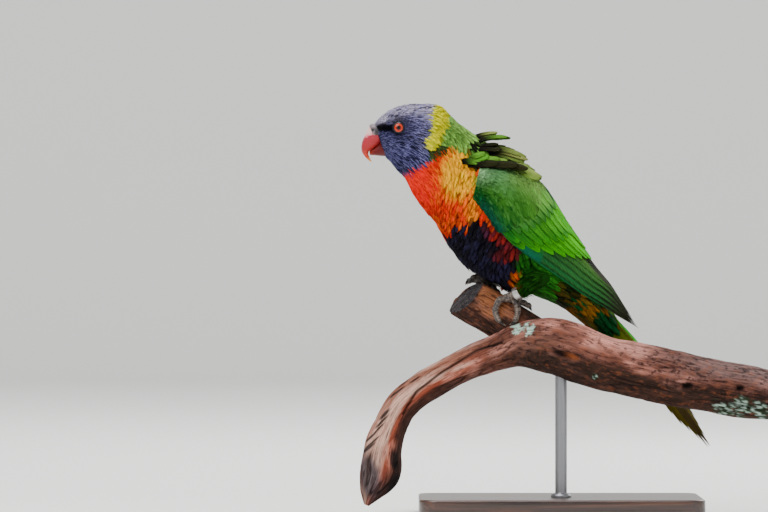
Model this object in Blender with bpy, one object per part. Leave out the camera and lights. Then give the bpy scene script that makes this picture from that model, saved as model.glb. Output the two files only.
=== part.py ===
"""Rainbow lorikeet, life size, leaning forward on a cut branch that a display stand holds.

The bird faces -X and its left side faces -Y. Its mid plane is Y = 0 and the stand's underside is Z = 0.
Sizes below are in millimetres, and MM turns them to metres where a mesh is made.
"""

import math

import bmesh
import bpy
import numpy as np
from mathutils import Matrix, Vector

MM = 0.001
GAP = 0.3

# Body stations from the bill to the tail: dorsal x and z, ventral x and z, half width.
BODY = {
    "bill base": (-126.5, 264.9, -118.5, 242.4, 7.2),
    "forehead": (-121.7, 270.6, -115.6, 239.4, 10.2),
    "lores": (-114.9, 275.2, -111.5, 234.3, 12.6),
    "eye": (-107.4, 277.8, -108.1, 230.9, 14.0),
    "crown": (-99.3, 278.8, -105.4, 227.5, 15.0),
    "back of crown": (-83.0, 277.8, -100.6, 218.3, 15.8),
    "nape": (-69.4, 266.6, -94.5, 209.1, 16.8),
    "collar": (-53.7, 255.3, -85.7, 198.6, 20.2),
    "shoulders": (-35.4, 244.1, -77.5, 185.0, 23.6),
    "upper breast": (-16.3, 227.1, -66.0, 170.7, 26.2),
    "breast": (-2.0, 204.7, -46.9, 158.8, 26.2),
    "belly": (10.2, 184.3, -23.1, 150.6, 23.6),
    "rump": (21.8, 165.2, -1.4, 141.4, 19.0),
    "vent": (32.6, 144.2, 16.3, 128.5, 14.3),
    "tail base": (37.4, 135.3, 23.1, 122.4, 12.0),
}
BODY_ROUNDNESS = 2.15
HEAD_END = 5.25
NECK_END = 7.4
TORSO_END = 12.5
TAIL_BASE_END = 14.0

EYE = Vector((-109.8, 9.6, 262.3))
EYE_RADIUS = 4.6
LID_PLANE = 12.9
LID_RADIUS = 4.0
LID_THICKNESS = 0.75

# Bill stations from the root to the tip: outer x and z, inner x and z, half width.
UPPER_BILL = (
    (-129.0, 264.2, -123.8, 250.8, 6.2),
    (-131.0, 261.2, -125.1, 249.7, 5.8),
    (-132.8, 257.4, -126.5, 248.6, 5.3),
    (-134.4, 253.3, -128.1, 247.5, 4.6),
    (-135.1, 249.2, -129.7, 246.7, 3.7),
    (-134.5, 245.8, -130.4, 245.3, 2.9),
    (-132.6, 242.8, -130.0, 243.6, 1.9),
    (-130.4, 240.6, -129.1, 241.6, 1.1),
    (-128.4, 239.3, -128.1, 239.8, 0.4),
)
LOWER_BILL = (
    (-124.3, 249.7, -121.7, 243.3, 4.9),
    (-126.6, 247.9, -125.3, 243.7, 4.1),
    (-128.6, 246.6, -128.0, 243.9, 2.9),
    (-129.5, 245.5, -129.1, 244.2, 1.5),
)
BILL_ROUNDNESS = 2.3
UPPER_BILL_ROOT = (0.0, 0.52)
LOWER_BILL_ROOT = (0.57, 0.97)
CERE_CUT = Vector((-127.0, 0.0, 257.7))
CERE_CUT_UP = Vector((-0.25, 0.0, 0.97))
NOSTRIL = Vector((-127.4, 5.5, 260.9))
NOSTRIL_RADIUS = 0.85

# Folded wing, from the bend to the tip: upper x and z, lower x and z, then its distance from
# the mid plane at the lower edge, the middle and the upper edge.
WING = (
    (-50.3, 233.9, -57.1, 214.2, 20.5, 21.5, 18.0),
    (-35.4, 236.3, -49.6, 204.0, 24.5, 24.5, 16.5),
    (-21.1, 230.9, -38.8, 189.0, 26.5, 26.5, 12.5),
    (-8.8, 218.3, -26.5, 178.2, 27.0, 26.5, 8.5),
    (2.0, 200.6, -12.9, 168.6, 25.5, 24.5, 6.0),
    (12.9, 184.3, 1.4, 159.1, 22.5, 21.0, 5.0),
    (23.1, 169.3, 15.6, 148.9, 18.5, 16.5, 4.5),
    (34.0, 155.7, 29.9, 140.1, 14.0, 11.5, 4.2),
    (44.9, 138.0, 42.8, 132.3, 9.0, 7.5, 5.0),
    (53.4, 127.5, 52.7, 126.5, 6.6, 6.4, 6.2),
)
WING_CLEARANCE = 1.3
# Thickness of the feathered arm along the wing, out to where only the flight feathers go on.
ARM_PLACES = (0.0, 0.06, 0.16, 0.26, 0.38, 0.52)
ARM_THICKNESS = (2.0, 3.4, 3.6, 3.3, 2.7, 1.6)
# Rows of wing feathers: lower edge of the first and the last vane across the wing, root of the
# first and the last vane along it, tips, and for each vane its thickness, its height over the bed
# and the least height of its underside.
FEATHER_OVERLAP = 1.7
WING_ROWS = {
    "primary": {
        "low": (0.0, 0.60), "root": (0.42, 0.42), "tip": (0.985, 0.95, 0.89, 0.81, 0.73),
        "thickness": 1.3, "height": 2.6, "lowest": 0.12,
    },
    "secondary": {
        "low": (0.14, 0.82), "root": (0.22, 0.36), "tip": (0.40, 0.48, 0.55, 0.61, 0.66),
        "thickness": 2.0, "height": 3.6, "lowest": 0.36,
    },
    "covert": {
        "low": (0.04, 0.78), "root": (0.12, 0.28), "tip": (0.27, 0.36, 0.45, 0.52),
        "thickness": 2.2, "height": 4.4, "lowest": 0.6,
    },
    "median": {
        "low": (0.05, 0.72), "root": (0.07, 0.16), "tip": (0.18, 0.27, 0.35),
        "thickness": 2.2, "height": 4.9, "lowest": 0.84,
    },
}
VANE_SLOPE = 0.12

# Tail line along the crest of the folded tail, and the arch that the feathers lie on: its half
# width and its depth. The arch twists about its crest, so that its right side rises.
TAIL_CREST = ((36.0, 134.4), (54.5, 113.4), (79.0, 75.5), (101.5, 44.7))
TAIL_ARCH = ((8.6, 13.5), (9.2, 13.0), (11.0, 5.0), (8.5, 2.5))
TAIL_FAN = math.radians(86)
TAIL_TWIST = math.radians(45)
TAIL_TWIST_PLACES = (0.3, 0.75)
TAIL_ROOT = 0.02
TAIL_CORE_LENGTH = 16.0
TAIL_FEATHER = {"share": 0.44, "thickness": 1.0, "slope": 0.09, "step": 0.04}
TAIL_TIPS = (0.99, 0.92, 0.85, 0.79, 0.71, 0.62)

# Rows of ruffled feathers on the nape and the mantle: station, how far round the back they
# reach in degrees, count, length, width, and how steeply they stand off the body in degrees.
NAPE_RUFF = (
    {"station": 6.5, "reach": 62, "count": 6, "length": 18.0, "width": 10.5, "lift": 31},
    {"station": 7.05, "reach": 54, "count": 6, "length": 24.0, "width": 12.0, "lift": 24},
)
MANTLE_RUFF = (
    {"station": 7.75, "reach": 30, "count": 4, "length": 25.0, "width": 11.0, "lift": 25},
    {"station": 8.3, "reach": 10, "count": 2, "length": 28.0, "width": 12.0, "lift": 18},
)
RUFF_THICKNESS = 1.0
RUFF_SINK = 3.5
SEED = 7

# Branch stations from the right end to the broken left end: x, y, z, radius.
LIMB = (
    (149.6, -38.5, 80.2, 16.3),
    (95.2, -37.5, 88.4, 18.0),
    (47.6, -33.0, 98.6, 18.4),
    (27.2, -28.8, 104.0, 18.6),
    (6.8, -22.5, 111.2, 19.4),
    (-10.2, -17.0, 115.3, 18.6),
    (-27.2, -13.2, 116.3, 15.4),
    (-44.2, -11.0, 109.8, 11.8),
    (-61.2, -10.3, 102.7, 11.2),
    (-78.2, -10.0, 94.5, 10.8),
    (-95.2, -10.0, 84.0, 10.7),
    (-108.8, -10.2, 72.1, 10.9),
    (-116.3, -10.5, 57.1, 11.6),
    (-120.9, -11.0, 42.2, 13.2),
    (-123.2, -11.5, 27.2, 13.6),
    (-128.2, -12.0, 15.0, 7.8),
    (-131.6, -12.3, 6.5, 1.6),
)
BARK_SWELL = 0.035
STUB_ROOT = Vector((-17.0, -8.0, 118.3))
STUB_END = Vector((-63.0, 4.0, 146.6))
STUB_RADIUS = 15.2
STUB_CUT = Vector((-60.8, 0.0, 148.6))
STUB_CUT_FACE = Vector((-0.705, -0.25, 0.664))

TARSUS_RADIUS = 2.6
TOE_RADIUS = 2.2
CLAW_RADIUS = 1.35
# The share of a toe's length at which its claw starts.
CLAW_START = 0.76
PAD_RADIUS = 2.75
TOE_CLEARANCE = 0.45
# Each foot: the place of its pad on the stub, its hock, and its toes as routes on the stub.
# A place on the stub is the share of its length from the root, degrees from its top towards
# the left side, and how far above its bark, past the toe's own radius.
FEET = {
    "left": {
        "pad": (0.53, 38.0, 0.9),
        "hock": Vector((-25.4, -17.3, 153.2)),
        "toes": (
            ((0.53, 38, 0.7), (0.59, 56, 0.3), (0.555, 82, 0), (0.45, 96, 0), (0.35, 98, 0.5)),
            ((0.52, 36, 0.7), (0.43, 34, 0.4), (0.325, 54, 0), (0.285, 77, 0.2), (0.32, 92, 0.6)),
            ((0.52, 34, 0.7), (0.40, 20, 0.3), (0.30, 5, 0.2), (0.235, -8, 0.2)),
            ((0.53, 34, 0.7), (0.53, 8, 0.3), (0.47, -24, 0), (0.42, -50, 0)),
        ),
    },
    "right": {
        "pad": (0.90, -30.0, 0.1),
        "hock": Vector((-37.6, 21.2, 158.2)),
        "toes": (
            ((0.90, -28, 0.1), (0.98, -22, 0.0), (1.05, -16, -0.3), (1.085, -4, -5.0), (1.085, 8, -10.0)),
            ((0.90, -32, 0.1), (1.00, -36, 0.0), (1.09, -40, -0.3), (1.135, -40, -5.0), (1.13, -38, -9.0)),
            ((0.90, -30, 0.1), (0.82, -32, 0), (0.75, -38, 0), (0.69, -50, 0), (0.66, -64, 0)),
            ((0.89, -32, 0.1), (0.85, -54, 0), (0.81, -76, 0), (0.79, -98, 0)),
        ),
    },
}
# Each thigh: centres and radii above the hock, up into the flank.
THIGHS = {
    "left": (((-19.5, -19.0, 159.0), 6.4), ((-13.0, -18.2, 162.5), 7.2), ((-4.0, -15.8, 165.0), 5.0)),
    "right": (((-30.5, 21.5, 162.5), 6.4), ((-21.0, 20.8, 165.5), 7.2), ((-10.0, 18.3, 168.0), 5.0)),
}
THIGH_FOOT_RADIUS = 4.0
RING_PLACE = 0.6
RING_OUTER = 4.75
RING_INNER = 4.05
RING_HEIGHT = 4.0
RING_DROP = 0.9

BASE_SIZE = Vector((192.0, 126.0, 12.0))
BASE_CORNER = 12.0
ROD_PLACE = (0.0, -20.2)
ROD_RADIUS = 4.0
ROD_TOP = 102.0
ROD_CUTTER = 40.0

parts = bpy.data.collections.new("rainbow_lorikeet")
cutters = bpy.data.collections.new("cutters")


def clear_scene():
    """Removes the objects of the open scene and links the collections of this one."""
    for old in list(bpy.data.objects):
        bpy.data.objects.remove(old)
    bpy.context.scene.collection.children.link(parts)
    bpy.context.scene.collection.children.link(cutters)


def finish(name, colour, roughness, metallic=0.0):
    """A Principled material."""
    material = bpy.data.materials.new(name)
    material.use_nodes = True
    shader = material.node_tree.nodes["Principled BSDF"]
    shader.inputs["Base Color"].default_value = (*colour, 1.0)
    shader.inputs["Roughness"].default_value = roughness
    shader.inputs["Metallic"].default_value = metallic
    return material


def add_object(name, points, faces, material):
    """A mesh object from points in millimetres, with its faces turned outwards."""
    mesh = bpy.data.meshes.new(name)
    mesh.from_pydata((np.asarray(points, float) * MM).tolist(), [], faces)
    mesh.materials.append(material)
    turned = bmesh.new()
    turned.from_mesh(mesh)
    bmesh.ops.recalc_face_normals(turned, faces=turned.faces)
    turned.to_mesh(mesh)
    turned.free()
    obj = bpy.data.objects.new(name, mesh)
    parts.objects.link(obj)
    return obj


def evaluated_mesh(obj):
    """A new mesh of the object as its modifiers leave it."""
    bpy.context.view_layer.update()
    graph = bpy.context.evaluated_depsgraph_get()
    return bpy.data.meshes.new_from_object(obj.evaluated_get(graph))


def apply_modifiers(obj):
    """Puts the modifiers' result into the object's own mesh."""
    mesh = evaluated_mesh(obj)
    obj.modifiers.clear()
    obj.data = mesh


def keep_largest(obj):
    """Keeps the closed surface that holds the most volume, and drops loose scraps and sealed hollows."""
    whole = bmesh.new()
    whole.from_mesh(obj.data)
    bmesh.ops.triangulate(whole, faces=whole.faces)
    waiting = set(whole.verts)
    surfaces = []
    while waiting:
        surface = set()
        front = [waiting.pop()]
        while front:
            vert = front.pop()
            surface.add(vert)
            linked = {edge.other_vert(vert) for edge in vert.link_edges} & waiting
            waiting -= linked
            front.extend(linked)
        surfaces.append(surface)

    def volume(surface):
        faces = {face for vert in surface for face in vert.link_faces}
        return sum(f.verts[0].co.dot(f.verts[1].co.cross(f.verts[2].co)) for f in faces)

    largest = max(surfaces, key=volume)
    bmesh.ops.delete(whole, geom=[v for v in whole.verts if v not in largest], context="VERTS")
    whole.to_mesh(obj.data)
    whole.free()


def fuse(pieces, solver="EXACT"):
    """Joins closed pieces into the first one by a single union."""
    body, others = pieces[0], pieces[1:]
    together = bpy.data.collections.new(body.name + "_pieces")
    bpy.context.scene.collection.children.link(together)
    for piece in others:
        parts.objects.unlink(piece)
        together.objects.link(piece)
    union = body.modifiers.new("union", "BOOLEAN")
    union.operation = "UNION"
    union.operand_type = "COLLECTION"
    union.collection = together
    union.solver = solver
    apply_modifiers(body)
    for piece in others:
        bpy.data.objects.remove(piece)
    bpy.data.collections.remove(together)
    keep_largest(body)
    return body


def cut(body, cutter, solver="EXACT"):
    """Takes the cutter's space out of the body, and removes the cutter."""
    parts.objects.unlink(cutter)
    cutters.objects.link(cutter)
    cutter.hide_render = True
    cutter.display_type = "WIRE"
    difference = body.modifiers.new("cut", "BOOLEAN")
    difference.operation = "DIFFERENCE"
    difference.object = cutter
    difference.solver = solver
    apply_modifiers(body)
    bpy.data.objects.remove(cutter)
    keep_largest(body)
    return body


def keep_side(obj, point, normal):
    """Cuts the object by a plane, drops the side that the normal points to and closes the cut."""
    halved = bmesh.new()
    halved.from_mesh(obj.data)
    everything = halved.verts[:] + halved.edges[:] + halved.faces[:]
    result = bmesh.ops.bisect_plane(
        halved, geom=everything, plane_co=point * MM, plane_no=normal, clear_outer=True
    )
    rim = [item for item in result["geom_cut"] if isinstance(item, bmesh.types.BMEdge)]
    bmesh.ops.edgeloop_fill(halved, edges=rim)
    bmesh.ops.recalc_face_normals(halved, faces=halved.faces)
    halved.to_mesh(obj.data)
    halved.free()
    return obj


def curve_through(values, places):
    """Catmull-Rom curve through rows of values, read at places from 0 to one less than their count."""
    values = np.asarray(values, float)
    places = np.clip(np.asarray(places, float), 0, len(values) - 1)
    first = np.clip(places.astype(int), 0, len(values) - 2)
    share = (places - first)[..., None]
    padded = np.concatenate([2 * values[:1] - values[1:2], values, 2 * values[-1:] - values[-2:-1]])
    before, start, end, after = (padded[first + step] for step in range(4))
    return 0.5 * (
        2 * start
        + (end - before) * share
        + (2 * before - 5 * start + 4 * end - after) * share**2
        + (3 * start - before - 3 * end + after) * share**3
    )


def loft(rings):
    """Points and faces of a closed body through rings of equally many points, with flat ends."""
    rings = np.asarray(rings, float)
    count, sides = rings.shape[:2]
    index = np.arange(count * sides).reshape(count, sides)
    beside = np.roll(index, -1, axis=1)
    quads = np.stack([index[:-1], beside[:-1], beside[1:], index[1:]], axis=-1).reshape(-1, 4)
    return rings.reshape(-1, 3), quads.tolist() + [index[0].tolist(), index[-1].tolist()]


def plate(outer, inner):
    """Points and faces of a closed thin body between two like grids, split alike on both faces."""
    outer = np.asarray(outer, float)
    inner = np.asarray(inner, float)
    rows, columns = outer.shape[:2]
    index = np.arange(rows * columns).reshape(rows, columns)
    low, right, high, left = index[:-1, :-1], index[:-1, 1:], index[1:, 1:], index[1:, :-1]
    skin = np.concatenate([
        np.stack([low, right, high], axis=-1).reshape(-1, 3),
        np.stack([low, high, left], axis=-1).reshape(-1, 3),
    ])
    back = skin[:, ::-1] + rows * columns
    rim = np.concatenate([index[0], index[1:, -1], index[-1, -2::-1], index[-2:0:-1, 0]])
    ahead = np.roll(rim, -1)
    under = rows * columns
    sides = np.concatenate([
        np.stack([rim, rim + under, ahead + under], axis=-1),
        np.stack([rim, ahead + under, ahead], axis=-1),
    ])
    points = np.concatenate([outer.reshape(-1, 3), inner.reshape(-1, 3)])
    return points, np.concatenate([skin, back, sides]).tolist()


def tube(name, route, radii, material, sides=8):
    """A round rod along a smooth route, as a curve that is made a mesh with its caps welded."""
    curve = bpy.data.curves.new(name, "CURVE")
    curve.dimensions = "3D"
    curve.bevel_depth = MM
    curve.bevel_resolution = sides // 2 - 2
    curve.use_fill_caps = True
    spline = curve.splines.new("POLY")
    spline.points.add(len(route) - 1)
    for point, place, radius in zip(spline.points, route, radii):
        point.co = (*(np.asarray(place, float) * MM), 1.0)
        point.radius = radius
    guide = bpy.data.objects.new(name + "_route", curve)
    parts.objects.link(guide)
    mesh = evaluated_mesh(guide)
    welded = bmesh.new()
    welded.from_mesh(mesh)
    bmesh.ops.remove_doubles(welded, verts=welded.verts, dist=0.01 * MM)
    bmesh.ops.recalc_face_normals(welded, faces=welded.faces)
    welded.to_mesh(mesh)
    welded.free()
    mesh.materials.clear()
    mesh.materials.append(material)
    obj = bpy.data.objects.new(name, mesh)
    obj.matrix_world = guide.matrix_world
    parts.objects.link(obj)
    bpy.data.objects.remove(guide)
    return obj


def ball(name, centre, radius, material, segments=16, rings=10):
    """A sphere whose poles point along Y."""
    shape = bmesh.new()
    place = Matrix.Translation(centre * MM) @ Matrix.Rotation(math.pi / 2, 4, "X")
    bmesh.ops.create_uvsphere(
        shape, u_segments=segments, v_segments=rings, radius=radius * MM, matrix=place
    )
    mesh = bpy.data.meshes.new(name)
    shape.to_mesh(mesh)
    shape.free()
    mesh.materials.append(material)
    obj = bpy.data.objects.new(name, mesh)
    parts.objects.link(obj)
    return obj


def cylinder(name, centre, radius, length, axis, material, sides=24):
    """A cylinder about a centre, along an axis."""
    shape = bmesh.new()
    turn = Vector((0, 0, 1)).rotation_difference(axis).to_matrix().to_4x4()
    bmesh.ops.create_cone(
        shape,
        cap_ends=True,
        segments=sides,
        radius1=radius * MM,
        radius2=radius * MM,
        depth=length * MM,
        matrix=Matrix.Translation(centre * MM) @ turn,
    )
    mesh = bpy.data.meshes.new(name)
    shape.to_mesh(mesh)
    shape.free()
    mesh.materials.append(material)
    obj = bpy.data.objects.new(name, mesh)
    parts.objects.link(obj)
    return obj


def smooth(obj, angle=40.0):
    """Shades a rounded piece smooth, apart from its sharp edges."""
    obj.data.shade_smooth()
    obj.data.set_sharp_from_angle(angle=math.radians(angle))
    return obj


def body_section(place):
    """Centre, unit direction to the back, half height and half width of the body at a station."""
    values = curve_through(list(BODY.values()), place)
    dorsal = values[..., 0:2]
    ventral = values[..., 2:4]
    half = (dorsal - ventral) / 2
    height = np.linalg.norm(half, axis=-1)
    return (dorsal + ventral) / 2, half / height[..., None], height, values[..., 4]


def rounded(angle):
    """Cosine and sine on a slightly squared circle."""
    power = 2 / BODY_ROUNDNESS
    cosine, sine = np.cos(angle), np.sin(angle)
    return np.sign(cosine) * np.abs(cosine) ** power, np.sign(sine) * np.abs(sine) ** power


def body_point(place, angle, grow=0.0):
    """A point on the body: the angle runs from the back, at 0, down the left side."""
    centre, back, height, width = body_section(place)
    upward, sideward = rounded(angle)
    flat = centre + back * ((height + grow) * upward)[..., None]
    return np.stack([flat[..., 0], -(width + grow) * sideward, flat[..., 1]], axis=-1)


def body_loft(start, end, rows, sides, grow=0.0):
    """Rings of the body between two stations, with its flat ends moved in by half the gap."""
    places = np.linspace(start, end, rows)[:, None]
    angles = np.linspace(0, 2 * math.pi, sides, endpoint=False)[None, :]
    rings = body_point(places, angles, grow)
    for row, sign in ((0, 1), (-1, -1)):
        back = body_section(np.array(places[row, 0]))[1]
        along = np.array([back[1], 0.0, -back[0]])
        rings[row] += sign * along * (GAP / 2 - grow)
    return rings


def flank(x, z):
    """How far the body's side lies from the mid plane at a place of the side view, or 0 outside it."""
    x, z = np.broadcast_arrays(np.asarray(x, float), np.asarray(z, float))
    stations = np.linspace(6.0, TAIL_BASE_END, 400)
    centre, back, height, width = body_section(stations)
    away = np.stack([x, z], axis=-1)[..., None, :] - centre
    across = np.abs(away[..., 0] * back[:, 1] - away[..., 1] * back[:, 0])
    up = (away * back).sum(-1) / height
    nearest = np.argmin(across + 50 * (np.abs(up) > 1.4), axis=-1)
    level = np.abs(np.take_along_axis(up, nearest[..., None], -1)[..., 0])
    inside = np.clip(1 - level**BODY_ROUNDNESS, 0, None) ** (1 / BODY_ROUNDNESS)
    return width[nearest] * inside


def wing_bed(along, across):
    """The surface that the left wing lies on: along from the bend to the tip, across from the lower edge."""
    along, across = np.broadcast_arrays(np.asarray(along, float), np.asarray(across, float))
    values = curve_through(WING, along * (len(WING) - 1))
    x = values[..., 2] + (values[..., 0] - values[..., 2]) * across
    z = values[..., 3] + (values[..., 1] - values[..., 3]) * across
    low, middle, high = values[..., 4], values[..., 5], values[..., 6]
    wanted = low * (1 - across) * (1 - 2 * across) + 4 * middle * across * (1 - across)
    wanted = wanted + high * across * (2 * across - 1)
    needed = flank(x, z) + WING_CLEARANCE
    distance = (wanted + needed + np.hypot(wanted - needed, 1.5)) / 2
    return np.stack([x, -distance, z], axis=-1)


def wing_point(along, across, offset):
    """A point that stands off the wing's bed."""
    step = 0.01
    point = wing_bed(along, across)
    forward = wing_bed(np.asarray(along) + step, across) - wing_bed(np.asarray(along) - step, across)
    upward = wing_bed(along, np.asarray(across) + step) - wing_bed(along, np.asarray(across) - step)
    outward = np.cross(upward, forward)
    outward /= np.linalg.norm(outward, axis=-1, keepdims=True)
    outward *= -np.sign(outward[..., 1:2])
    return point + outward * np.asarray(offset, float)[..., None]


def wing_depth(along):
    """How wide the folded wing is across, at a place along it."""
    values = curve_through(WING, np.asarray(along, float) * (len(WING) - 1))
    return np.hypot(values[..., 0] - values[..., 2], values[..., 1] - values[..., 3])


def across_profile(across):
    """The share of its full height that a feather has there: less at the wing's two edges."""
    return np.clip(0.62 + 1.6 * across * (1 - across), 0, 1)


def wing_vane(name, span, root, tip, style, material):
    """One feather on the wing: its lower edge stands proud, and its upper edge runs under the next."""
    share = np.array([0.0, 0.3, 0.65, 0.88, 1.0])[:, None]
    fullness = np.array([0.85, 1.0, 1.0, 0.7, 0.16])[:, None]
    along = root + (tip - root) * share
    depth = wing_depth(along)
    low, high = span
    pointed = low + (high - low) * 0.6
    lower_edge = pointed + (low - pointed) * fullness
    upper_edge = pointed + (high - pointed) * fullness
    across = lower_edge + (upper_edge - lower_edge) * np.array([[0.0, 1.0]])
    arm = np.interp(root, ARM_PLACES, ARM_THICKNESS)
    height = np.interp(share, (0, 0.3), (min(arm, style["height"]) - 0.5, style["height"]))
    top = height * across_profile(across) - VANE_SLOPE * (across - low) * depth
    thickness = style["thickness"] * np.interp(share, (0, 0.6, 1), (1, 1, 0.55))
    bottom = np.maximum(top - thickness, style["lowest"])
    outer = wing_point(along + 0 * across, across, np.maximum(top, bottom + 0.5))
    return add_object(name, *plate(outer, wing_point(along + 0 * across, across, bottom)), material)


def make_wing(name, material):
    """The left wing: a feathered arm with its primaries, secondaries and coverts in shingled rows."""
    along = np.array(ARM_PLACES)[:, None]
    across = np.linspace(0.0, 1.0, 5)[None, :]
    thickness = np.array(ARM_THICKNESS)[:, None] * across_profile(across)
    arm = plate(wing_point(along, across, thickness), wing_point(along, across, 0 * thickness))
    pieces = [add_object(name, *arm, material)]
    for row, style in WING_ROWS.items():
        count = len(style["tip"])
        lows = np.linspace(*style["low"], count)
        highs = np.minimum(lows + FEATHER_OVERLAP * (lows[1] - lows[0]), 1.0)
        highs[-1] = 1.0
        roots = np.linspace(*style["root"], count)
        for number, tip in enumerate(style["tip"]):
            span = (lows[number], highs[number])
            pieces.append(wing_vane(f"{row}_{number}", span, roots[number], tip, style, material))
    return fuse(pieces)


def mirrored(obj, name):
    """A copy on the bird's other side."""
    points = np.array([vertex.co for vertex in obj.data.vertices]) / MM * (1, -1, 1)
    faces = [list(polygon.vertices)[::-1] for polygon in obj.data.polygons]
    return add_object(name, points, faces, obj.data.materials[0])


def tail_point(along, across, offset):
    """A point on the tail's arch: along from its base to its tip, across from -1, at the lower left edge."""
    along, across = np.broadcast_arrays(np.asarray(along, float), np.asarray(across, float))
    rows = along * (len(TAIL_CREST) - 1)
    crest = curve_through(TAIL_CREST, rows)
    ahead = curve_through(TAIL_CREST, rows + 0.05) - curve_through(TAIL_CREST, rows - 0.05)
    ahead /= np.linalg.norm(ahead, axis=-1, keepdims=True)
    back = np.stack([-ahead[..., 1], ahead[..., 0]], axis=-1)
    arch = curve_through(TAIL_ARCH, rows)
    angle = across * TAIL_FAN
    side = (arch[..., 0] + offset) * np.sin(angle)
    rise = (arch[..., 1] + offset) * np.cos(angle) - arch[..., 1]
    twist = TAIL_TWIST * np.interp(along, TAIL_TWIST_PLACES, (0, 1))
    flat = crest + back * (rise * np.cos(twist) + side * np.sin(twist))[..., None]
    return np.stack([flat[..., 0], side * np.cos(twist) - rise * np.sin(twist), flat[..., 1]], axis=-1)


def tail_core_rings():
    """Rings of the solid root of the tail, from the end of the body into the arch."""
    sides = 16
    angles = np.linspace(0, 2 * math.pi, sides, endpoint=False)
    first = body_point(np.full(sides, TAIL_BASE_END), angles)
    back = body_section(np.array(TAIL_BASE_END))[1]
    along = np.array([back[1], 0.0, -back[0]])
    centre = first.mean(axis=0)
    rings = []
    for share, size in ((0.0, 0.97), (0.4, 0.86), (0.8, 0.62), (1.0, 0.3)):
        rings.append(centre + (first - centre) * size + along * (GAP / 2 + share * TAIL_CORE_LENGTH))
    return rings


def tail_vane(pair, side, material):
    """One tail feather: its outer edge stands proud, and its inner edge runs under the next pair."""
    share = np.array([0.0, 0.22, 0.42, 0.62, 0.82, 0.94, 1.0])[:, None]
    fullness = np.array([0.9, 1.0, 1.0, 0.95, 0.75, 0.45, 0.14])[:, None]
    along = TAIL_ROOT + (TAIL_TIPS[pair] - TAIL_ROOT) * share
    outer_edge = (pair + 1) / len(TAIL_TIPS)
    middle = outer_edge - TAIL_FEATHER["share"] / 2
    half = TAIL_FEATHER["share"] / 2 * fullness
    across = middle + half * np.array([[1.0, -1.0]])
    arch = curve_through(TAIL_ARCH, along * (len(TAIL_ARCH) - 1))
    reach = (outer_edge - across) * arch.sum(axis=-1) * TAIL_FAN / 2
    top = -TAIL_FEATHER["slope"] * reach - TAIL_FEATHER["step"] * pair
    thickness = TAIL_FEATHER["thickness"] * np.interp(share, (0, 0.6, 1), (1, 1, 0.5))
    outer = tail_point(along + 0 * across, side * across, top)
    inner = tail_point(along + 0 * across, side * across, top - thickness)
    return add_object(f"tail_feather_{pair}_{side}", *plate(outer, inner), material)


def make_tail(name, material):
    """The tail: a solid root with six pairs of graduated feathers."""
    pieces = [add_object(name, *loft(tail_core_rings()), material)]
    for pair in range(len(TAIL_TIPS)):
        for side in (-1, 1):
            pieces.append(tail_vane(pair, side, material))
    return fuse(pieces)


def ruff_vane(name, station, angle, length, width, lift, material):
    """One ruffled feather: it leaves the body at an angle and bends back over it."""
    step = 0.02
    root = body_point(np.array(station), np.array(angle))
    along = body_point(np.array(station + step), np.array(angle)) - root
    around = body_point(np.array(station), np.array(angle + step)) - root
    along /= np.linalg.norm(along)
    outward = np.cross(around, along)
    outward /= np.linalg.norm(outward)
    if outward @ (root - body_point(np.array(station), np.array(angle), -5.0)) < 0:
        outward = -outward
    across = np.cross(outward, along)
    share = np.array([0.0, 0.25, 0.55, 0.8, 0.94, 1.0])
    fullness = np.array([0.6, 0.9, 1.0, 0.82, 0.5, 0.16])
    heading = np.radians(lift) * (1.15 - 0.5 * share)
    steps = np.diff(share, prepend=0.0)[:, None] * (length + RUFF_SINK)
    direction = np.cos(heading)[:, None] * along + np.sin(heading)[:, None] * outward
    line = root - direction[0] * RUFF_SINK + np.cumsum(steps * direction, axis=0)
    upward = np.cos(heading)[:, None] * outward - np.sin(heading)[:, None] * along
    thick = RUFF_THICKNESS * np.interp(share, (0, 0.5, 1), (1.2, 1.0, 0.55))[:, None, None]
    spread = (width / 2 * fullness)[:, None, None] * np.array([-1.0, 1.0])[None, :, None] * across
    outer = line[:, None, :] + spread + upward[:, None, :] * thick / 2
    return add_object(name, *plate(outer, outer - upward[:, None, :] * thick), material)


def ruff(name, rows, material):
    """The feathers of some ruffled rows, each varied a little."""
    draw = np.random.default_rng(SEED)
    pieces = []
    for row in rows:
        angles = np.linspace(-row["reach"], row["reach"], row["count"])
        for number, angle in enumerate(angles):
            station = row["station"] + draw.uniform(-0.06, 0.06)
            turned = math.radians(angle + draw.uniform(-3, 3))
            length = row["length"] * draw.uniform(0.86, 1.1)
            lift = row["lift"] * draw.uniform(0.9, 1.15)
            label = f"{name}_{row['station']}_{number}"
            pieces.append(ruff_vane(label, station, turned, length, row["width"], lift, material))
    return pieces


def stub_point(share, degrees, above):
    """A point by the stub: share of its length, degrees from its top towards the left, height over its axis."""
    axis = STUB_END - STUB_ROOT
    top = Vector((-axis.z, 0.0, axis.x)).normalized() * -1
    left = top.cross(axis).normalized()
    if left.y > 0:
        left = -left
    angle = math.radians(degrees)
    return STUB_ROOT + axis * share + (top * math.cos(angle) + left * math.sin(angle)) * above


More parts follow.
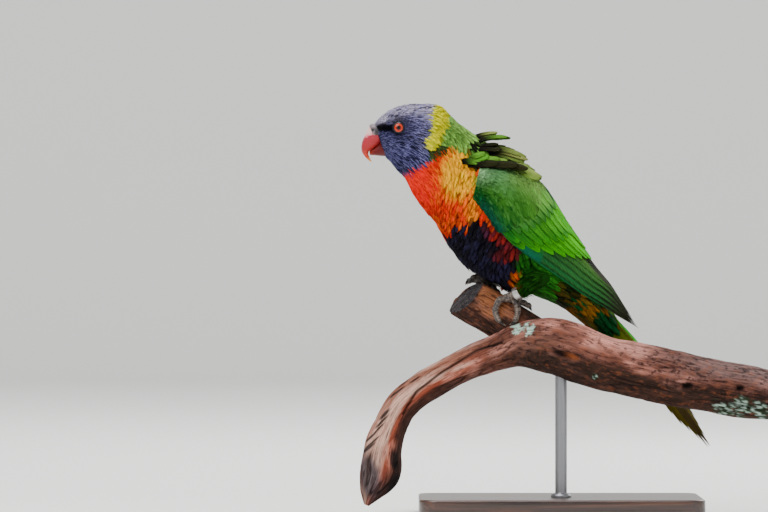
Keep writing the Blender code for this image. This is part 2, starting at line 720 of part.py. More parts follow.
def make_toe(name, route, material):
    """A toe and its claw, wrapped round the stub, as one closed tapering tube."""
    places = [stub_point(t, a, STUB_RADIUS + TOE_CLEARANCE + TOE_RADIUS + h) for t, a, h in route]
    samples = np.linspace(0, len(places) - 1, 4 * len(places) - 3)
    centres = curve_through([tuple(place) for place in places], samples)
    share = samples / samples[-1]
    toe = TOE_RADIUS * (1.0 - 0.22 * share / CLAW_START + 0.06 * np.cos(share * 26))
    claw = CLAW_RADIUS * np.clip((1 - share) / (1 - CLAW_START), 0.12, 1)
    radii = np.where(share < CLAW_START, toe, claw)
    sink = radii - TOE_RADIUS
    axis = np.array((STUB_END - STUB_ROOT).normalized())
    away = centres - np.array(STUB_ROOT)
    away -= (away @ axis)[:, None] * axis
    distance = np.linalg.norm(away, axis=1, keepdims=True)
    on_bark = (distance > STUB_RADIUS)[:, 0]
    centres = centres + np.where(on_bark, sink, 0)[:, None] * away / distance
    return tube(name, centres, radii, material, sides=8)


def pad_place(side):
    """Centre of a foot's pad on the stub."""
    share, degrees, above = FEET[side]["pad"]
    return stub_point(share, degrees, STUB_RADIUS + TOE_CLEARANCE + TOE_RADIUS + above)


def make_foot(side, material):
    """Tarsus, pad and four toes of one foot, fused."""
    foot = FEET[side]
    pad = pad_place(side)
    tarsus = tube(
        "foot_" + side, [pad, pad.lerp(foot["hock"], 0.5), foot["hock"]], [TARSUS_RADIUS] * 3, material, 10
    )
    pieces = [tarsus, ball("pad_" + side, pad, PAD_RADIUS, material, 12, 8)]
    for number, route in enumerate(foot["toes"]):
        pieces.append(make_toe(f"toe_{side}_{number}", route, material))
    return smooth(fuse(pieces))


def make_thigh(side, material):
    """The feathered thigh, which stands out of the flank and is cut clear of it."""
    pad, hock = pad_place(side), FEET[side]["hock"]
    shin = (hock - pad).normalized()
    centres, radii = zip(*THIGHS[side])
    centres = (tuple(hock - shin), tuple(hock + shin * THIGH_FOOT_RADIUS / 2), *centres)
    radii = (THIGH_FOOT_RADIUS, THIGH_FOOT_RADIUS * 1.1, *radii)
    samples = np.linspace(0, len(centres) - 1, 9)
    route = curve_through(centres, samples)
    sizes = curve_through(np.array(radii)[:, None], samples)[:, 0]
    thigh = tube("thigh_" + side, route, sizes, material, sides=12)
    keep_side(thigh, hock + shin * GAP, -shin)
    body = add_object("torso_space", *loft(body_loft(8.5, 13.5, 14, 40, GAP)), material)
    return smooth(cut(thigh, body))


def make_ring(material):
    """The metal leg ring, hanging loose round the left tarsus."""
    pad, hock = pad_place("left"), FEET["left"]["hock"]
    axis = (hock - pad).normalized()
    down = Vector((0, 0, -1)) - axis * axis.dot(Vector((0, 0, -1)))
    centre = pad.lerp(hock, RING_PLACE) + down.normalized() * RING_DROP
    ring = cylinder("leg_ring", centre, RING_OUTER, RING_HEIGHT, axis, material, 28)
    hole = cylinder("ring_hole", centre, RING_INNER, RING_HEIGHT + 2, axis, material, 28)
    return smooth(cut(ring, hole))


def make_head(material):
    """The head with its lids, and a socket for each eye."""
    head = add_object("head", *loft(body_loft(0.0, HEAD_END, 15, 26)), material)
    pieces = [head]
    for sign in (-1, 1):
        centre = Vector((EYE.x, sign * LID_PLANE, EYE.z))
        angles = np.linspace(0, 2 * math.pi, 20, endpoint=False)
        rows = []
        for angle in angles:
            spoke = np.array([math.cos(angle), 0.0, math.sin(angle)])
            turns = np.linspace(0, 2 * math.pi, 6, endpoint=False)
            section = np.outer(LID_RADIUS + LID_THICKNESS * np.cos(turns), spoke)
            section[:, 1] = LID_THICKNESS * np.sin(turns)
            rows.append(np.array(centre) + section)
        index = np.arange(20 * 6).reshape(20, 6)
        beside = np.roll(index, -1, axis=1)
        faces = np.stack([index, beside, np.roll(beside, -1, axis=0), np.roll(index, -1, axis=0)], -1)
        pieces.append(add_object(f"lid{sign}", np.concatenate(rows), faces.reshape(-1, 4).tolist(), material))
    fuse(pieces)
    for sign in (-1, 1):
        centre = Vector((EYE.x, sign * EYE.y, EYE.z))
        cut(head, ball("socket", centre, EYE_RADIUS + GAP, material, 16, 10))
    return smooth(head, 60)


def bill_rings(stations, root, sides):
    """Rings of half a bill: the first on the head's front face, the others at its stations."""
    front = BODY["bill base"]
    dorsal, ventral = np.array(front[0:2]), np.array(front[2:4])
    ahead = np.array([ventral[1] - dorsal[1], dorsal[0] - ventral[0]])
    ahead *= GAP / np.linalg.norm(ahead)
    outer, inner = (dorsal + (ventral - dorsal) * share + ahead for share in root)
    rows = [(*outer, *inner, front[4] - 0.5)] + list(stations)
    angles = np.linspace(0, 2 * math.pi, sides, endpoint=False)
    power = 2 / BILL_ROUNDNESS
    cosine = np.sign(np.cos(angles)) * np.abs(np.cos(angles)) ** power
    sine = np.sign(np.sin(angles)) * np.abs(np.sin(angles)) ** power
    rings = []
    for outer_x, outer_z, inner_x, inner_z, width in rows:
        x = (outer_x + inner_x) / 2 + (outer_x - inner_x) / 2 * cosine
        z = (outer_z + inner_z) / 2 + (outer_z - inner_z) / 2 * cosine
        rings.append(np.stack([x, width * sine, z], axis=-1))
    return rings


def make_bill(horn, skin):
    """Upper bill, cere with its nostrils, and lower bill."""
    rings = bill_rings(UPPER_BILL, UPPER_BILL_ROOT, 16)
    upper = add_object("bill_upper", *loft(rings), horn)
    cere = add_object("cere", *loft(rings), skin)
    keep_side(upper, CERE_CUT - CERE_CUT_UP * GAP / 2, CERE_CUT_UP)
    keep_side(cere, CERE_CUT + CERE_CUT_UP * GAP / 2, -CERE_CUT_UP)
    for sign in (-1, 1):
        centre = Vector((NOSTRIL.x, sign * NOSTRIL.y, NOSTRIL.z))
        cut(cere, ball("nostril", centre, NOSTRIL_RADIUS, skin, 10, 6))
    lower = add_object("bill_lower", *loft(bill_rings(LOWER_BILL, LOWER_BILL_ROOT, 14)), horn)
    for piece in (upper, cere, lower):
        smooth(piece)


def limb_ring(place, sides):
    """A ring of the branch, square to its line, with the swells of its bark."""
    values = curve_through(LIMB, np.array(place))
    ahead = curve_through(LIMB, np.array(place + 0.05))[:3] - curve_through(LIMB, np.array(place - 0.05))[:3]
    axis = Vector(ahead).normalized()
    beside = Vector((0, 1, 0)) - axis * axis.y
    beside.normalize()
    top = beside.cross(axis)
    angles = np.linspace(0, 2 * math.pi, sides, endpoint=False)
    waves = 0.6 * np.sin(3 * angles + 1.7 * place) + 0.4 * np.sin(5 * angles - 2.3 * place)
    swell = 1 + BARK_SWELL * waves
    radius = values[3] * swell
    centre = np.array(values[:3])
    return centre + np.outer(radius * np.cos(angles), top) + np.outer(radius * np.sin(angles), beside)


def make_branch(material):
    """The branch and the sawn stub that the bird grips, fused, with a blind hole for the rod."""
    places = np.linspace(0, len(LIMB) - 1, 2 * len(LIMB) - 1)
    limb = add_object("perch_branch", *loft([limb_ring(place, 18) for place in places]), material)
    axis = STUB_END - STUB_ROOT
    turn = np.linspace(0, 2 * math.pi, 24, endpoint=False)
    rings = []
    for share in (-0.1, 0.15, 0.5, 0.85, 1.35):
        rings.append([stub_point(share, math.degrees(angle), STUB_RADIUS) for angle in turn])
    stub = add_object("stub", *loft([[tuple(point) for point in ring] for ring in rings]), material)
    keep_side(stub, STUB_CUT, STUB_CUT_FACE.normalized())
    fuse([limb, stub])
    hole_centre = Vector((*ROD_PLACE, ROD_TOP + GAP - ROD_CUTTER / 2))
    hole = cylinder("rod_hole", hole_centre, ROD_RADIUS + GAP, ROD_CUTTER, Vector((0, 0, 1)), material)
    return smooth(cut(limb, hole))


def make_stand(wood, metal):
    """A flat plinth with rounded corners and a bevelled top, and the rod that holds the branch."""
    half_x, half_y = BASE_SIZE.x / 2, BASE_SIZE.y / 2
    rings = []
    for level, inset in ((0.0, 0.0), (BASE_SIZE.z - 2.0, 0.0), (BASE_SIZE.z - 0.6, 0.6), (BASE_SIZE.z, 2.0)):
        ring = []
        for corner in range(4):
            centre_x = (half_x - BASE_CORNER) * (1, -1, -1, 1)[corner]
            centre_y = (half_y - BASE_CORNER) * (1, 1, -1, -1)[corner]
            for step in range(5):
                angle = math.pi / 2 * (corner + step / 4)
                reach = BASE_CORNER - inset
                ring.append((centre_x + reach * math.cos(angle), centre_y + reach * math.sin(angle), level))
        rings.append(ring)
    base = add_object("stand_base", *loft(rings), wood)
    smooth(base)
    low = BASE_SIZE.z + GAP
    centre = Vector((*ROD_PLACE, (low + ROD_TOP) / 2))
    smooth(cylinder("stand_rod", centre, ROD_RADIUS, ROD_TOP - low, Vector((0, 0, 1)), metal))


def main():
    clear_scene()
    blue = finish("violet_blue_feather", (0.06, 0.06, 0.30), 0.6)
    green_neck = finish("lime_green_feather", (0.35, 0.50, 0.05), 0.6)
    red = finish("breast_feather", (0.60, 0.16, 0.02), 0.6)
    green = finish("green_feather", (0.05, 0.28, 0.05), 0.5)
    olive = finish("tail_feather", (0.22, 0.27, 0.04), 0.55)
    horn = finish("bill_horn", (0.65, 0.06, 0.03), 0.25)
    cere_skin = finish("cere_skin", (0.45, 0.38, 0.38), 0.5)
    iris = finish("eye", (0.60, 0.08, 0.01), 0.1)
    scales = finish("foot_scales", (0.08, 0.08, 0.09), 0.6)
    bark = finish("weathered_wood", (0.22, 0.11, 0.06), 0.9)
    dark_wood = finish("stained_wood", (0.03, 0.02, 0.015), 0.4)
    steel = finish("brushed_steel", (0.55, 0.55, 0.56), 0.35, 1.0)

    make_head(blue)
    make_bill(horn, cere_skin)
    for side, sign in (("left", -1), ("right", 1)):
        centre = Vector((EYE.x, sign * EYE.y, EYE.z))
        smooth(ball("eye_" + side, centre, EYE_RADIUS, iris, 16, 10))
    neck = add_object("neck", *loft(body_loft(HEAD_END, NECK_END, 7, 26)), green_neck)
    smooth(fuse([neck, *ruff("nape", NAPE_RUFF, green_neck)]))
    torso = add_object("torso", *loft(body_loft(NECK_END, TORSO_END, 13, 28)), red)
    smooth(fuse([torso, *ruff("mantle", MANTLE_RUFF, red)]))
    smooth(add_object("tail_base", *loft(body_loft(TORSO_END, TAIL_BASE_END, 6, 24)), olive))
    smooth(make_tail("tail", olive))
    wing = smooth(make_wing("wing_left", green))
    smooth(mirrored(wing, "wing_right"))
    for side in ("left", "right"):
        make_thigh(side, green)
        make_foot(side, scales)
    make_ring(steel)
    make_branch(bark)
    make_stand(dark_wood, steel)


main()
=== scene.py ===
"""Looks of the rainbow lorikeet model: plumage, bill, eyes, feet, perch and display stand.

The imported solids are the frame. Lengths are millimetres until a mesh is made. The bird looks
towards -X, its left side faces -Y, its mid plane is Y = 0 and the stand rests on Z = 0.
"""

import logging
import math
from collections.abc import Callable, Sequence
from dataclasses import dataclass
from enum import Enum

import bpy
import numpy as np
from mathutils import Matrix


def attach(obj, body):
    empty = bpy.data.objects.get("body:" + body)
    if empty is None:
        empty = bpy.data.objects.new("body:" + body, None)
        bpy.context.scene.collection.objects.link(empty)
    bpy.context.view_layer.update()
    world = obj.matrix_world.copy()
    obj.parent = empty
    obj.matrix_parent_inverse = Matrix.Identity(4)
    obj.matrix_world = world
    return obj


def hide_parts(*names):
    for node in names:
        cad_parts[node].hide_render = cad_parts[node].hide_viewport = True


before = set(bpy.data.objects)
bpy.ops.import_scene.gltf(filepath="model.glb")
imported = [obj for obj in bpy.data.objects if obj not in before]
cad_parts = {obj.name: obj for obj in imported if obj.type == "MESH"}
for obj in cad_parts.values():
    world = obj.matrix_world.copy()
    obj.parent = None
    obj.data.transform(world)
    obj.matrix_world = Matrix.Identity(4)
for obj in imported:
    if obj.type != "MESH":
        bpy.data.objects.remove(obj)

Array = np.ndarray
Piece = bpy.types.Object
Material = bpy.types.Material
Draw = np.random.Generator
Spot = tuple[float, float]
Triple = tuple[float, float, float]
Line = tuple[Spot, ...]
Table = tuple[tuple[float, ...], ...]
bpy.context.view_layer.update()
BODY_NAME = "root"
MM = 0.001
SEED = 11
PATCH = 0.003
MIRRORED = np.array([1.0, -1.0, 1.0])
LOG = logging.getLogger("lorikeet")


class Slot(Enum):
    """The record's material slots."""

    HEAD = "head_feathers"
    NAPE = "nape_feathers"
    BREAST = "breast_feathers"
    WING = "wing_feathers"
    TAIL = "tail_feathers"
    HORN = "bill_horn"
    CERE = "cere_skin"
    EYE = "eye"
    SCALES = "foot_scales"
    BARK = "bark"
    WOOD = "stained_wood"
    STEEL = "steel"


Finishes = dict[Slot, Material]


def linear(code: str) -> Array:
    """Turns an sRGB hex colour to linear light.

    Args:
        code: The colour as #RRGGBB.

    Returns:
        Three linear values from 0 to 1.
    """
    srgb = np.array([int(code[start : start + 2], 16) for start in (1, 3, 5)]) / 255
    return np.where(srgb <= 0.04045, srgb / 12.92, ((srgb + 0.055) / 1.055) ** 2.4)


def unit(vectors: Array) -> Array:
    """Vectors divided by their own lengths."""
    return vectors / np.maximum(np.linalg.norm(vectors, axis=-1, keepdims=True), 1e-9)


def eased(low: float, high: float, values: Array) -> Array:
    """Rises smoothly from 0 at low to 1 at high, as 3t^2 - 2t^3."""
    share = np.clip((values - low) / (high - low), 0, 1)
    return share * share * (3 - 2 * share)


def mixed(first: Array | str, second: Array | str, share: Array) -> Array:
    """Colours, linear or hex, a given share of the way from the first to the second."""
    first, second = (linear(colour) if isinstance(colour, str) else colour for colour in (first, second))
    return first + (second - first) * np.asarray(share)[..., None]


def laid(base: Array, tip: Array, colour: Array, share: Array, dark: float = 1.0) -> tuple[Array, Array]:
    """A feather's base and tip with a colour laid over them by a share, darker at the base as painted shade
    over the covered root.
    """
    return mixed(base, colour * dark, share), mixed(tip, colour, share)


def curve_through(values: Array, places: Array) -> Array:
    """Reads a Catmull-Rom curve through rows of values.

    Each span is the cubic that meets its two rows with slopes of half the step between
    their neighbours.

    Args:
        values: Rows of equally many numbers.
        places: Where to read it, from 0 to one less than the count of rows.

    Returns:
        One row of values for each place.
    """
    values = np.asarray(values, float)
    places = np.clip(np.asarray(places, float), 0, len(values) - 1)
    first = np.clip(places.astype(int), 0, len(values) - 2)
    share = (places - first)[..., None]
    padded = np.concatenate([2 * values[:1] - values[1:2], values, 2 * values[-1:] - values[-2:-1]])
    before, start, end, after = (padded[first + step] for step in range(4))
    return 0.5 * (
        2 * start
        + (end - before) * share
        + (2 * before - 5 * start + 4 * end - after) * share**2
        + (3 * start - before - 3 * end + after) * share**3
    )


def value_noise(points: Array, seed: int) -> Array:
    """Smooth noise: a random value at each corner of a unit grid, eased between the corners.

    Args:
        points: Places, with three coordinates each.
        seed: Picks the random values.

    Returns:
        Values from -1 to 1.
    """
    cell = np.floor(points).astype(np.int64)
    share = points - cell
    ease = share * share * (3 - 2 * share)
    total = np.zeros(points.shape[:-1])
    for corner in np.ndindex(2, 2, 2):
        place = cell + np.array(corner)
        mixed_bits = place[..., 0] * 73856093 ^ place[..., 1] * 19349663 ^ place[..., 2] * 83492791
        mixed_bits = (mixed_bits ^ (seed * 2654435761)) & 0xFFFFFFFF
        mixed_bits = ((mixed_bits ^ (mixed_bits >> 13)) * 1274126177) & 0xFFFFFFFF
        value = (mixed_bits ^ (mixed_bits >> 16)) / 2**31 - 1
        total += value * np.prod(np.where(np.array(corner) == 1, ease, 1 - ease), axis=-1)
    return total


def layered_noise(points: Array, octaves: int, seed: int) -> Array:
    """Noise at several scales, each twice as fine and half as strong as the one before."""
    layers = [value_noise(points * 2**step, seed + step) / 2**step for step in range(octaves)]
    return np.sum(layers, axis=0)


def beyond(line: Line, x: Array, z: Array) -> Array:
    """Signed distance from an open line in the side view.

    The distance is to the nearest of the line's pieces. It is positive on the left of the
    line's direction.

    Args:
        line: Points of the line, as x and z.
        x: The places' x.
        z: The places' z.

    Returns:
        The distances in millimetres.
    """
    corners = np.asarray(line, float)
    start, step = corners[:-1], np.diff(corners, axis=0)
    away = np.stack([x, z], axis=-1)[..., None, :] - start
    share = np.clip((away * step).sum(-1) / (step**2).sum(-1), 0, 1)
    gap = away - share[..., None] * step
    side = step[:, 0] * away[..., 1] - step[:, 1] * away[..., 0]
    distance = np.linalg.norm(gap, axis=-1)
    nearest = np.argmin(distance, axis=-1)[..., None]
    picked = np.take_along_axis(np.copysign(distance, side), nearest, -1)
    return picked[..., 0]


def oval_reach(points: Array, centre: Spot, size: Spot, turn: float) -> Array:
    """How many times an oval's half size each point lies from its middle, in the side view."""
    x, z = points[..., 0] - centre[0], points[..., 2] - centre[1]
    cosine, sine = math.cos(math.radians(turn)), math.sin(math.radians(turn))
    return np.hypot((x * cosine + z * sine) / size[0], (z * cosine - x * sine) / size[1])


def turns(count: int) -> Array:
    """Angles set evenly round a full turn, from 0."""
    return np.linspace(0, 2 * math.pi, count, endpoint=False)


def squared_turn(angles: Array, power: float) -> tuple[Array, Array]:
    """Cosine and sine with their sizes raised to a power, which squares a circle's outline."""
    cosine, sine = np.cos(angles), np.sin(angles)
    return np.sign(cosine) * np.abs(cosine) ** power, np.sign(sine) * np.abs(sine) ** power


def spokes(first: Array, second: Array, angles: Array) -> Array:
    """Directions round each place of a line, turned from its first direction to its second."""
    return first[:, None] * np.cos(angles)[None, :, None] + second[:, None] * np.sin(angles)[None, :, None]


def reach_along(points: Array) -> Array:
    """How far along a line of points each lies."""
    return np.concatenate([[0], np.cumsum(np.linalg.norm(np.diff(points, axis=0), axis=1))])


def add_mesh(name: str, points: Array, faces: Sequence[Array]) -> Piece:
    """Makes a mesh object at the origin from whole arrays.

    Args:
        name: The piece's name.
        points: Its points in millimetres.
        faces: Arrays of point indices, each with one row per face.

    Returns:
        The smooth shaded object.
    """
    corners = np.concatenate([group.ravel() for group in faces]).astype(np.int32)
    sizes = np.concatenate([np.full(len(group), group.shape[1]) for group in faces])
    starts = np.concatenate([[0], np.cumsum(sizes)[:-1]]).astype(np.int32)
    mesh = bpy.data.meshes.new(name)
    mesh.vertices.add(len(points))
    mesh.vertices.foreach_set("co", (np.asarray(points, float) * MM).astype(np.float32).ravel())
    mesh.loops.add(len(corners))
    mesh.loops.foreach_set("vertex_index", corners)
    mesh.polygons.add(len(sizes))
    mesh.polygons.foreach_set("loop_start", starts)
    mesh.polygons.foreach_set("use_smooth", np.ones(len(sizes), bool))
    mesh.update(calc_edges=True)
    obj = bpy.data.objects.new(name, mesh)
    bpy.context.scene.collection.objects.link(obj)
    return obj


def set_colour(obj: Piece, name: str, colours: Array, alpha: Array | float = 1.0) -> None:
    """Stores a linear colour for each point, with a fourth value beside it."""
    data = np.empty((len(obj.data.vertices), 4), np.float32)
    data[:, :3] = colours
    data[:, 3] = alpha
    layer = obj.data.color_attributes.new(name, "FLOAT_COLOR", "POINT")
    layer.data.foreach_set("color", data.ravel())


def set_vector(obj: Piece, name: str, values: Array) -> None:
    """Stores a vector for each point."""
    layer = obj.data.attributes.new(name, "FLOAT_VECTOR", "POINT")
    layer.data.foreach_set("vector", np.asarray(values, np.float32).ravel())


def set_uv(obj: Piece, name: str, values: Array) -> None:
    """Stores a UV map that is given for each point."""
    corners = np.empty(len(obj.data.loops), np.int32)
    obj.data.loops.foreach_get("vertex_index", corners)
    layer = obj.data.uv_layers.new(name=name, do_init=False)
    layer.data.foreach_set("uv", np.asarray(values, np.float32)[corners].ravel())


def tube_faces(rows: int, sides: int, count: int = 1, looped: bool = False) -> list[Array]:
    """Faces of equal tubes, joined ring to ring, with a flat face over each end or looped round.

    Args:
        rows: Rings in each tube.
        sides: Points in each ring.
        count: How many tubes follow one another.
        looped: Whether the last ring joins the first, as in a ring.

    Returns:
        Arrays of point indices, with one row per face.
    """
    index = np.arange(count * rows * sides).reshape(count, rows, sides)
    beside = np.roll(index, -1, axis=2)
    if looped:
        ahead = np.roll(beside, -1, axis=1), np.roll(index, -1, axis=1)
        return [np.stack([index, beside, *ahead], axis=-1).reshape(-1, 4)]
    quads = np.stack([index[:, :-1], beside[:, :-1], beside[:, 1:], index[:, 1:]], axis=-1)
    return [quads.reshape(-1, 4), index[:, 0, ::-1], index[:, -1]]


def outward_faces(points: Array, faces: list[Array]) -> list[Array]:
    """The faces as given, or all turned round where they enclose a negative volume."""
    signed = 0.0
    for group in faces:
        for step in range(1, group.shape[1] - 1):
            first, second, third = (points[group[:, corner]] for corner in (0, step, step + 1))
            signed += np.sum(first * np.cross(second, third))
    return [group[:, ::-1] for group in faces] if signed < 0 else faces


def add_tube(name: str, rings: Array, looped: bool = False) -> Piece:
    """A closed piece through rings of points, facing outwards."""
    points = rings.reshape(-1, 3)
    return add_mesh(name, points, outward_faces(points, tube_faces(*rings.shape[:2], looped=looped)))


def place_piece(obj: Piece, slot: Slot, material: Material, *nodes: str) -> None:
    """Dresses a piece, rides it on the body and hides the nodes that it stands for."""
    obj.data.materials.append(material)
    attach(obj, BODY_NAME)
    if nodes:
        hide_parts(*nodes)
    LOG.info("%s: %d faces", obj.name, len(obj.data.polygons))


class NodeTree:
    """A material's node tree, built a node at a time."""

    def __init__(self, name: str) -> None:
        """Starts a material with its Principled shader."""
        self.material = bpy.data.materials.new(name)
        self.material.use_nodes = True
        self.shader = self.material.node_tree.nodes["Principled BSDF"]

    def add(self, kind: str, links: dict, out: int | str = 0, **settings: object) -> bpy.types.NodeSocket:
        """Adds a node with its settings and links.

        Args:
            kind: The node's type, without the ShaderNode before it.
            links: For each input, by name or number, an output to link or a value to set.
            out: The output to give back, by name or number.
            **settings: The node's own properties, and stops for a ramp's places and hex colours.

        Returns:
            The node's output.
        """
        node = self.material.node_tree.nodes.new("ShaderNode" + kind)
        stops = settings.pop("stops", ())
        while stops and len(node.color_ramp.elements) < len(stops):
            node.color_ramp.elements.new(1.0)
        for number, (place, code) in enumerate(stops):
            node.color_ramp.elements[number].position = place
            node.color_ramp.elements[number].color = (*linear(code), 1.0)
        for key, value in settings.items():
            setattr(node, key, value)
        self.connect(node, links)
        return node.outputs[out]

    def connect(self, node: bpy.types.Node, links: dict) -> None:
        """Links outputs to a node's inputs, or sets their values, of which a hex code is a colour."""
        for key, value in links.items():
            if isinstance(value, bpy.types.NodeSocket):
                self.material.node_tree.links.new(value, node.inputs[key])
            else:
                node.inputs[key].default_value = (*linear(value), 1.0) if isinstance(value, str) else value

    def finish(self, **inputs: object) -> Material:
        """Links or sets the shader's inputs, named with _ for a space, and gives the material."""
        self.connect(self.shader, {key.replace("_", " "): value for key, value in inputs.items()})
        return self.material


@dataclass(frozen=True)
class FeatherFinish:
    """Feather: barbs lie side by side on both sides of the shaft, so light catches in fine slanted lines."""

    name: str
    streak: str = "#8E8CC6"
    streak_width: float = 0.17
    barbs: float = 9.0
    roughness: float = 0.75
    gloss: float = 0.04
    shaft_width: float = 0.05
    relief: float = 0.00012

    def material(self) -> Material:
        """Builds the feather material.

        The base colour is the plumage attribute. A pale streak follows the shaft by the
        attribute's fourth value. The barbs are a sine wave slanted away from the shaft.

        Returns:
            The material.
        """
        tree = NodeTree(self.name)
        plumage = tree.add("Attribute", {}, "Color", attribute_name="plumage")
        amount = tree.add("Attribute", {}, "Alpha", attribute_name="plumage")
        vane = tree.add("UVMap", {}, uv_map="vane")
        across, along = (tree.add("SeparateXYZ", {0: vane}, number) for number in (0, 1))
        off_middle = tree.add("Math", {0: across, 1: 0.5}, operation="SUBTRACT")
        off_shaft = tree.add("Math", {0: off_middle}, operation="ABSOLUTE")
        slant = tree.add("Math", {0: off_shaft, 1: -1.1, 2: along}, operation="MULTIPLY_ADD")
        phase = tree.add("Math", {0: slant, 1: self.barbs * 2 * math.pi}, operation="MULTIPLY")
        wave = tree.add("Math", {0: phase}, operation="SINE")
        streak = tree.add("MapRange", {0: off_shaft, 1: self.streak_width, 2: 0.04})
        fade = tree.add("MapRange", {0: along, 1: 1.0, 2: 0.85})
        faded = tree.add("Math", {0: streak, 1: fade}, operation="MULTIPLY")
        strength = tree.add("Math", {0: faded, 1: amount}, operation="MULTIPLY")
        streaked = tree.add("Mix", {0: strength, 6: plumage, 7: self.streak}, 2, data_type="RGBA")
        shaft = tree.add("MapRange", {0: off_shaft, 1: self.shaft_width, 2: 0.0, 4: 0.45})
        lined = tree.add("Mix", {0: shaft, 6: streaked, 7: "#000000"}, 2, data_type="RGBA")
        barbs = tree.add("MapRange", {0: wave, 1: -1.0, 2: 1.0, 3: 0.86, 4: 1.08})
        place = tree.add("TexCoord", {}, "Object")
        noise = tree.add("TexNoise", {"Vector": place, "Scale": 420.0, "Detail": 3.0})
        mottle = tree.add("MapRange", {0: noise, 1: 0.3, 2: 0.7, 3: 0.88, 4: 1.12})
        tone = tree.add("Math", {0: barbs, 1: mottle}, operation="MULTIPLY")
        colour = tree.add("VectorMath", {0: lined, 1: tone}, operation="MULTIPLY")
        bump = tree.add("Bump", {"Height": wave, "Distance": self.relief})
        return tree.finish(
            Base_Color=colour, Roughness=self.roughness, Normal=bump, Specular_IOR_Level=self.gloss
        )


@dataclass(frozen=True)
class SkinFinish:
    """Down-covered skin under the coat: dull, with the coat's own markings, darkened in noise patches as
    painted shade under the coat.
    """

    name: str = "down_covered_skin"

    def material(self) -> Material:
        """The plumage attribute, darkened and mottled at about 2 mm."""
        tree = NodeTree(self.name)
        plumage = tree.add("Attribute", {}, "Color", attribute_name="plumage")
        place = tree.add("TexCoord", {}, "Object")
        noise = tree.add("TexNoise", {"Vector": place, "Scale": 500.0, "Detail": 4.0})
        depth = tree.add("Math", {0: noise, 1: 0.5}, operation="MULTIPLY")
        dark = tree.add("Mix", {0: depth, 6: plumage, 7: "#000000"}, 2, data_type="RGBA")
        bump = tree.add("Bump", {"Height": noise, "Distance": 0.0004})
        return tree.finish(Base_Color=dark, Roughness=0.9, Normal=bump, Specular_IOR_Level=0.05)


@dataclass(frozen=True)
class HornFinish:
    """Parrot bill: living horn, smooth and a little waxy, pale at its root and worn pale at its tip."""

    name: str
    stops: tuple[tuple[float, str], ...]

    def material(self) -> Material:
        """A ramp along the bill, flaked by noise drawn out along it, with fine wear."""
        tree = NodeTree(self.name)
        grain = tree.add("Attribute", {}, "Vector", attribute_name="grain")
        along = tree.add("SeparateXYZ", {0: grain})
        flakes = tree.add("TexNoise", {"Vector": grain, "Scale": 7.0, "Detail": 5.0})
        centred = tree.add("Math", {0: flakes, 1: 0.5}, operation="SUBTRACT")
        place = tree.add("Math", {0: centred, 1: 0.22, 2: along}, operation="MULTIPLY_ADD")
        colour = tree.add("ValToRGB", {"Fac": place}, stops=self.stops)
        wear = tree.add("TexNoise", {"Vector": grain, "Scale": 26.0, "Detail": 3.0})
        worn = tree.add("MapRange", {0: wear, 1: 0.55, 2: 0.8, 4: 0.3})
        shown = tree.add("Mix", {0: worn, 6: colour, 7: "#B8605A"}, 2, data_type="RGBA")
        bump = tree.add("Bump", {"Height": flakes, "Distance": 0.00035})
        rough = tree.add("MapRange", {0: flakes, 1: 0.2, 2: 0.8, 3: 0.32, 4: 0.55})
        return tree.finish(Base_Color=shown, Roughness=rough, Normal=bump, Specular_IOR_Level=0.22)


@dataclass(frozen=True)
class PaintedFinish:
    """Bare skin, scales or worn wood whose colours are worked out with the shape, at each point."""

    name: str
    roughness: float
    grit: float
    relief: float
    gloss: float = 0.4

    def material(self) -> Material:
        """The tone attribute, varied by noise of the finish's own grit in millimetres."""
        tree = NodeTree(self.name)
        tone = tree.add("Attribute", {}, "Color", attribute_name="tone")
        place = tree.add("TexCoord", {}, "Object")
        noise = tree.add("TexNoise", {"Vector": place, "Scale": 1 / (self.grit * MM), "Detail": 4.0})
        level = tree.add("MapRange", {0: noise, 1: 0.3, 2: 0.7, 3: 0.75, 4: 1.2})
        colour = tree.add("VectorMath", {0: tone, 1: level}, operation="MULTIPLY")
        bump = tree.add("Bump", {"Height": noise, "Distance": self.relief})
        return tree.finish(
            Base_Color=colour, Roughness=self.roughness, Normal=bump, Specular_IOR_Level=self.gloss
        )


@dataclass(frozen=True)
class EyeFinish:
    """Glass eye: a black pupil in an orange-red iris, under a wet clear front."""

    centre: Spot
    pupil: float = 1.2
    iris: float = 2.9
    reach: float = 5.0

    def material(self) -> Material:
        """Colours by distance from the eye's axis, with fine spokes in the iris."""
        tree = NodeTree("glass_eye")
        place = tree.add("TexCoord", {}, "Object")
        centre = (-self.centre[0] * MM, 0.0, -self.centre[1] * MM)
        centred = tree.add("Mapping", {"Vector": place, "Location": centre})
        flat = tree.add("VectorMath", {0: centred, 1: (1.0, 0.0, 1.0)}, operation="MULTIPLY")
        reach = tree.add("VectorMath", {0: flat}, "Value", operation="LENGTH")
        spokes = tree.add("VectorMath", {0: flat}, operation="NORMALIZE")
        fibres = tree.add("TexNoise", {"Vector": spokes, "Scale": 9.0, "Detail": 2.0})
        share = tree.add("Math", {0: reach, 1: self.reach * MM}, operation="DIVIDE")
        ragged = tree.add("Math", {0: fibres, 1: 0.5}, operation="SUBTRACT")
        share = tree.add("Math", {0: ragged, 1: 0.05, 2: share}, operation="MULTIPLY_ADD")
        pupil, edge = self.pupil / self.reach, self.iris / self.reach
        stops = (
            (0.0, "#020202"), (pupil, "#030202"), (pupil + 0.03, "#6E1606"), (0.40, "#A82004"),
            (edge - 0.07, "#C83208"), (edge - 0.01, "#7A1C0C"), (edge + 0.02, "#0A090B"),
        )
        colour = tree.add("ValToRGB", {"Fac": share}, stops=stops)
        return tree.finish(
            Base_Color=colour, Roughness=0.3, Specular_IOR_Level=0.15, Coat_Weight=0.3, Coat_Roughness=0.03
        )


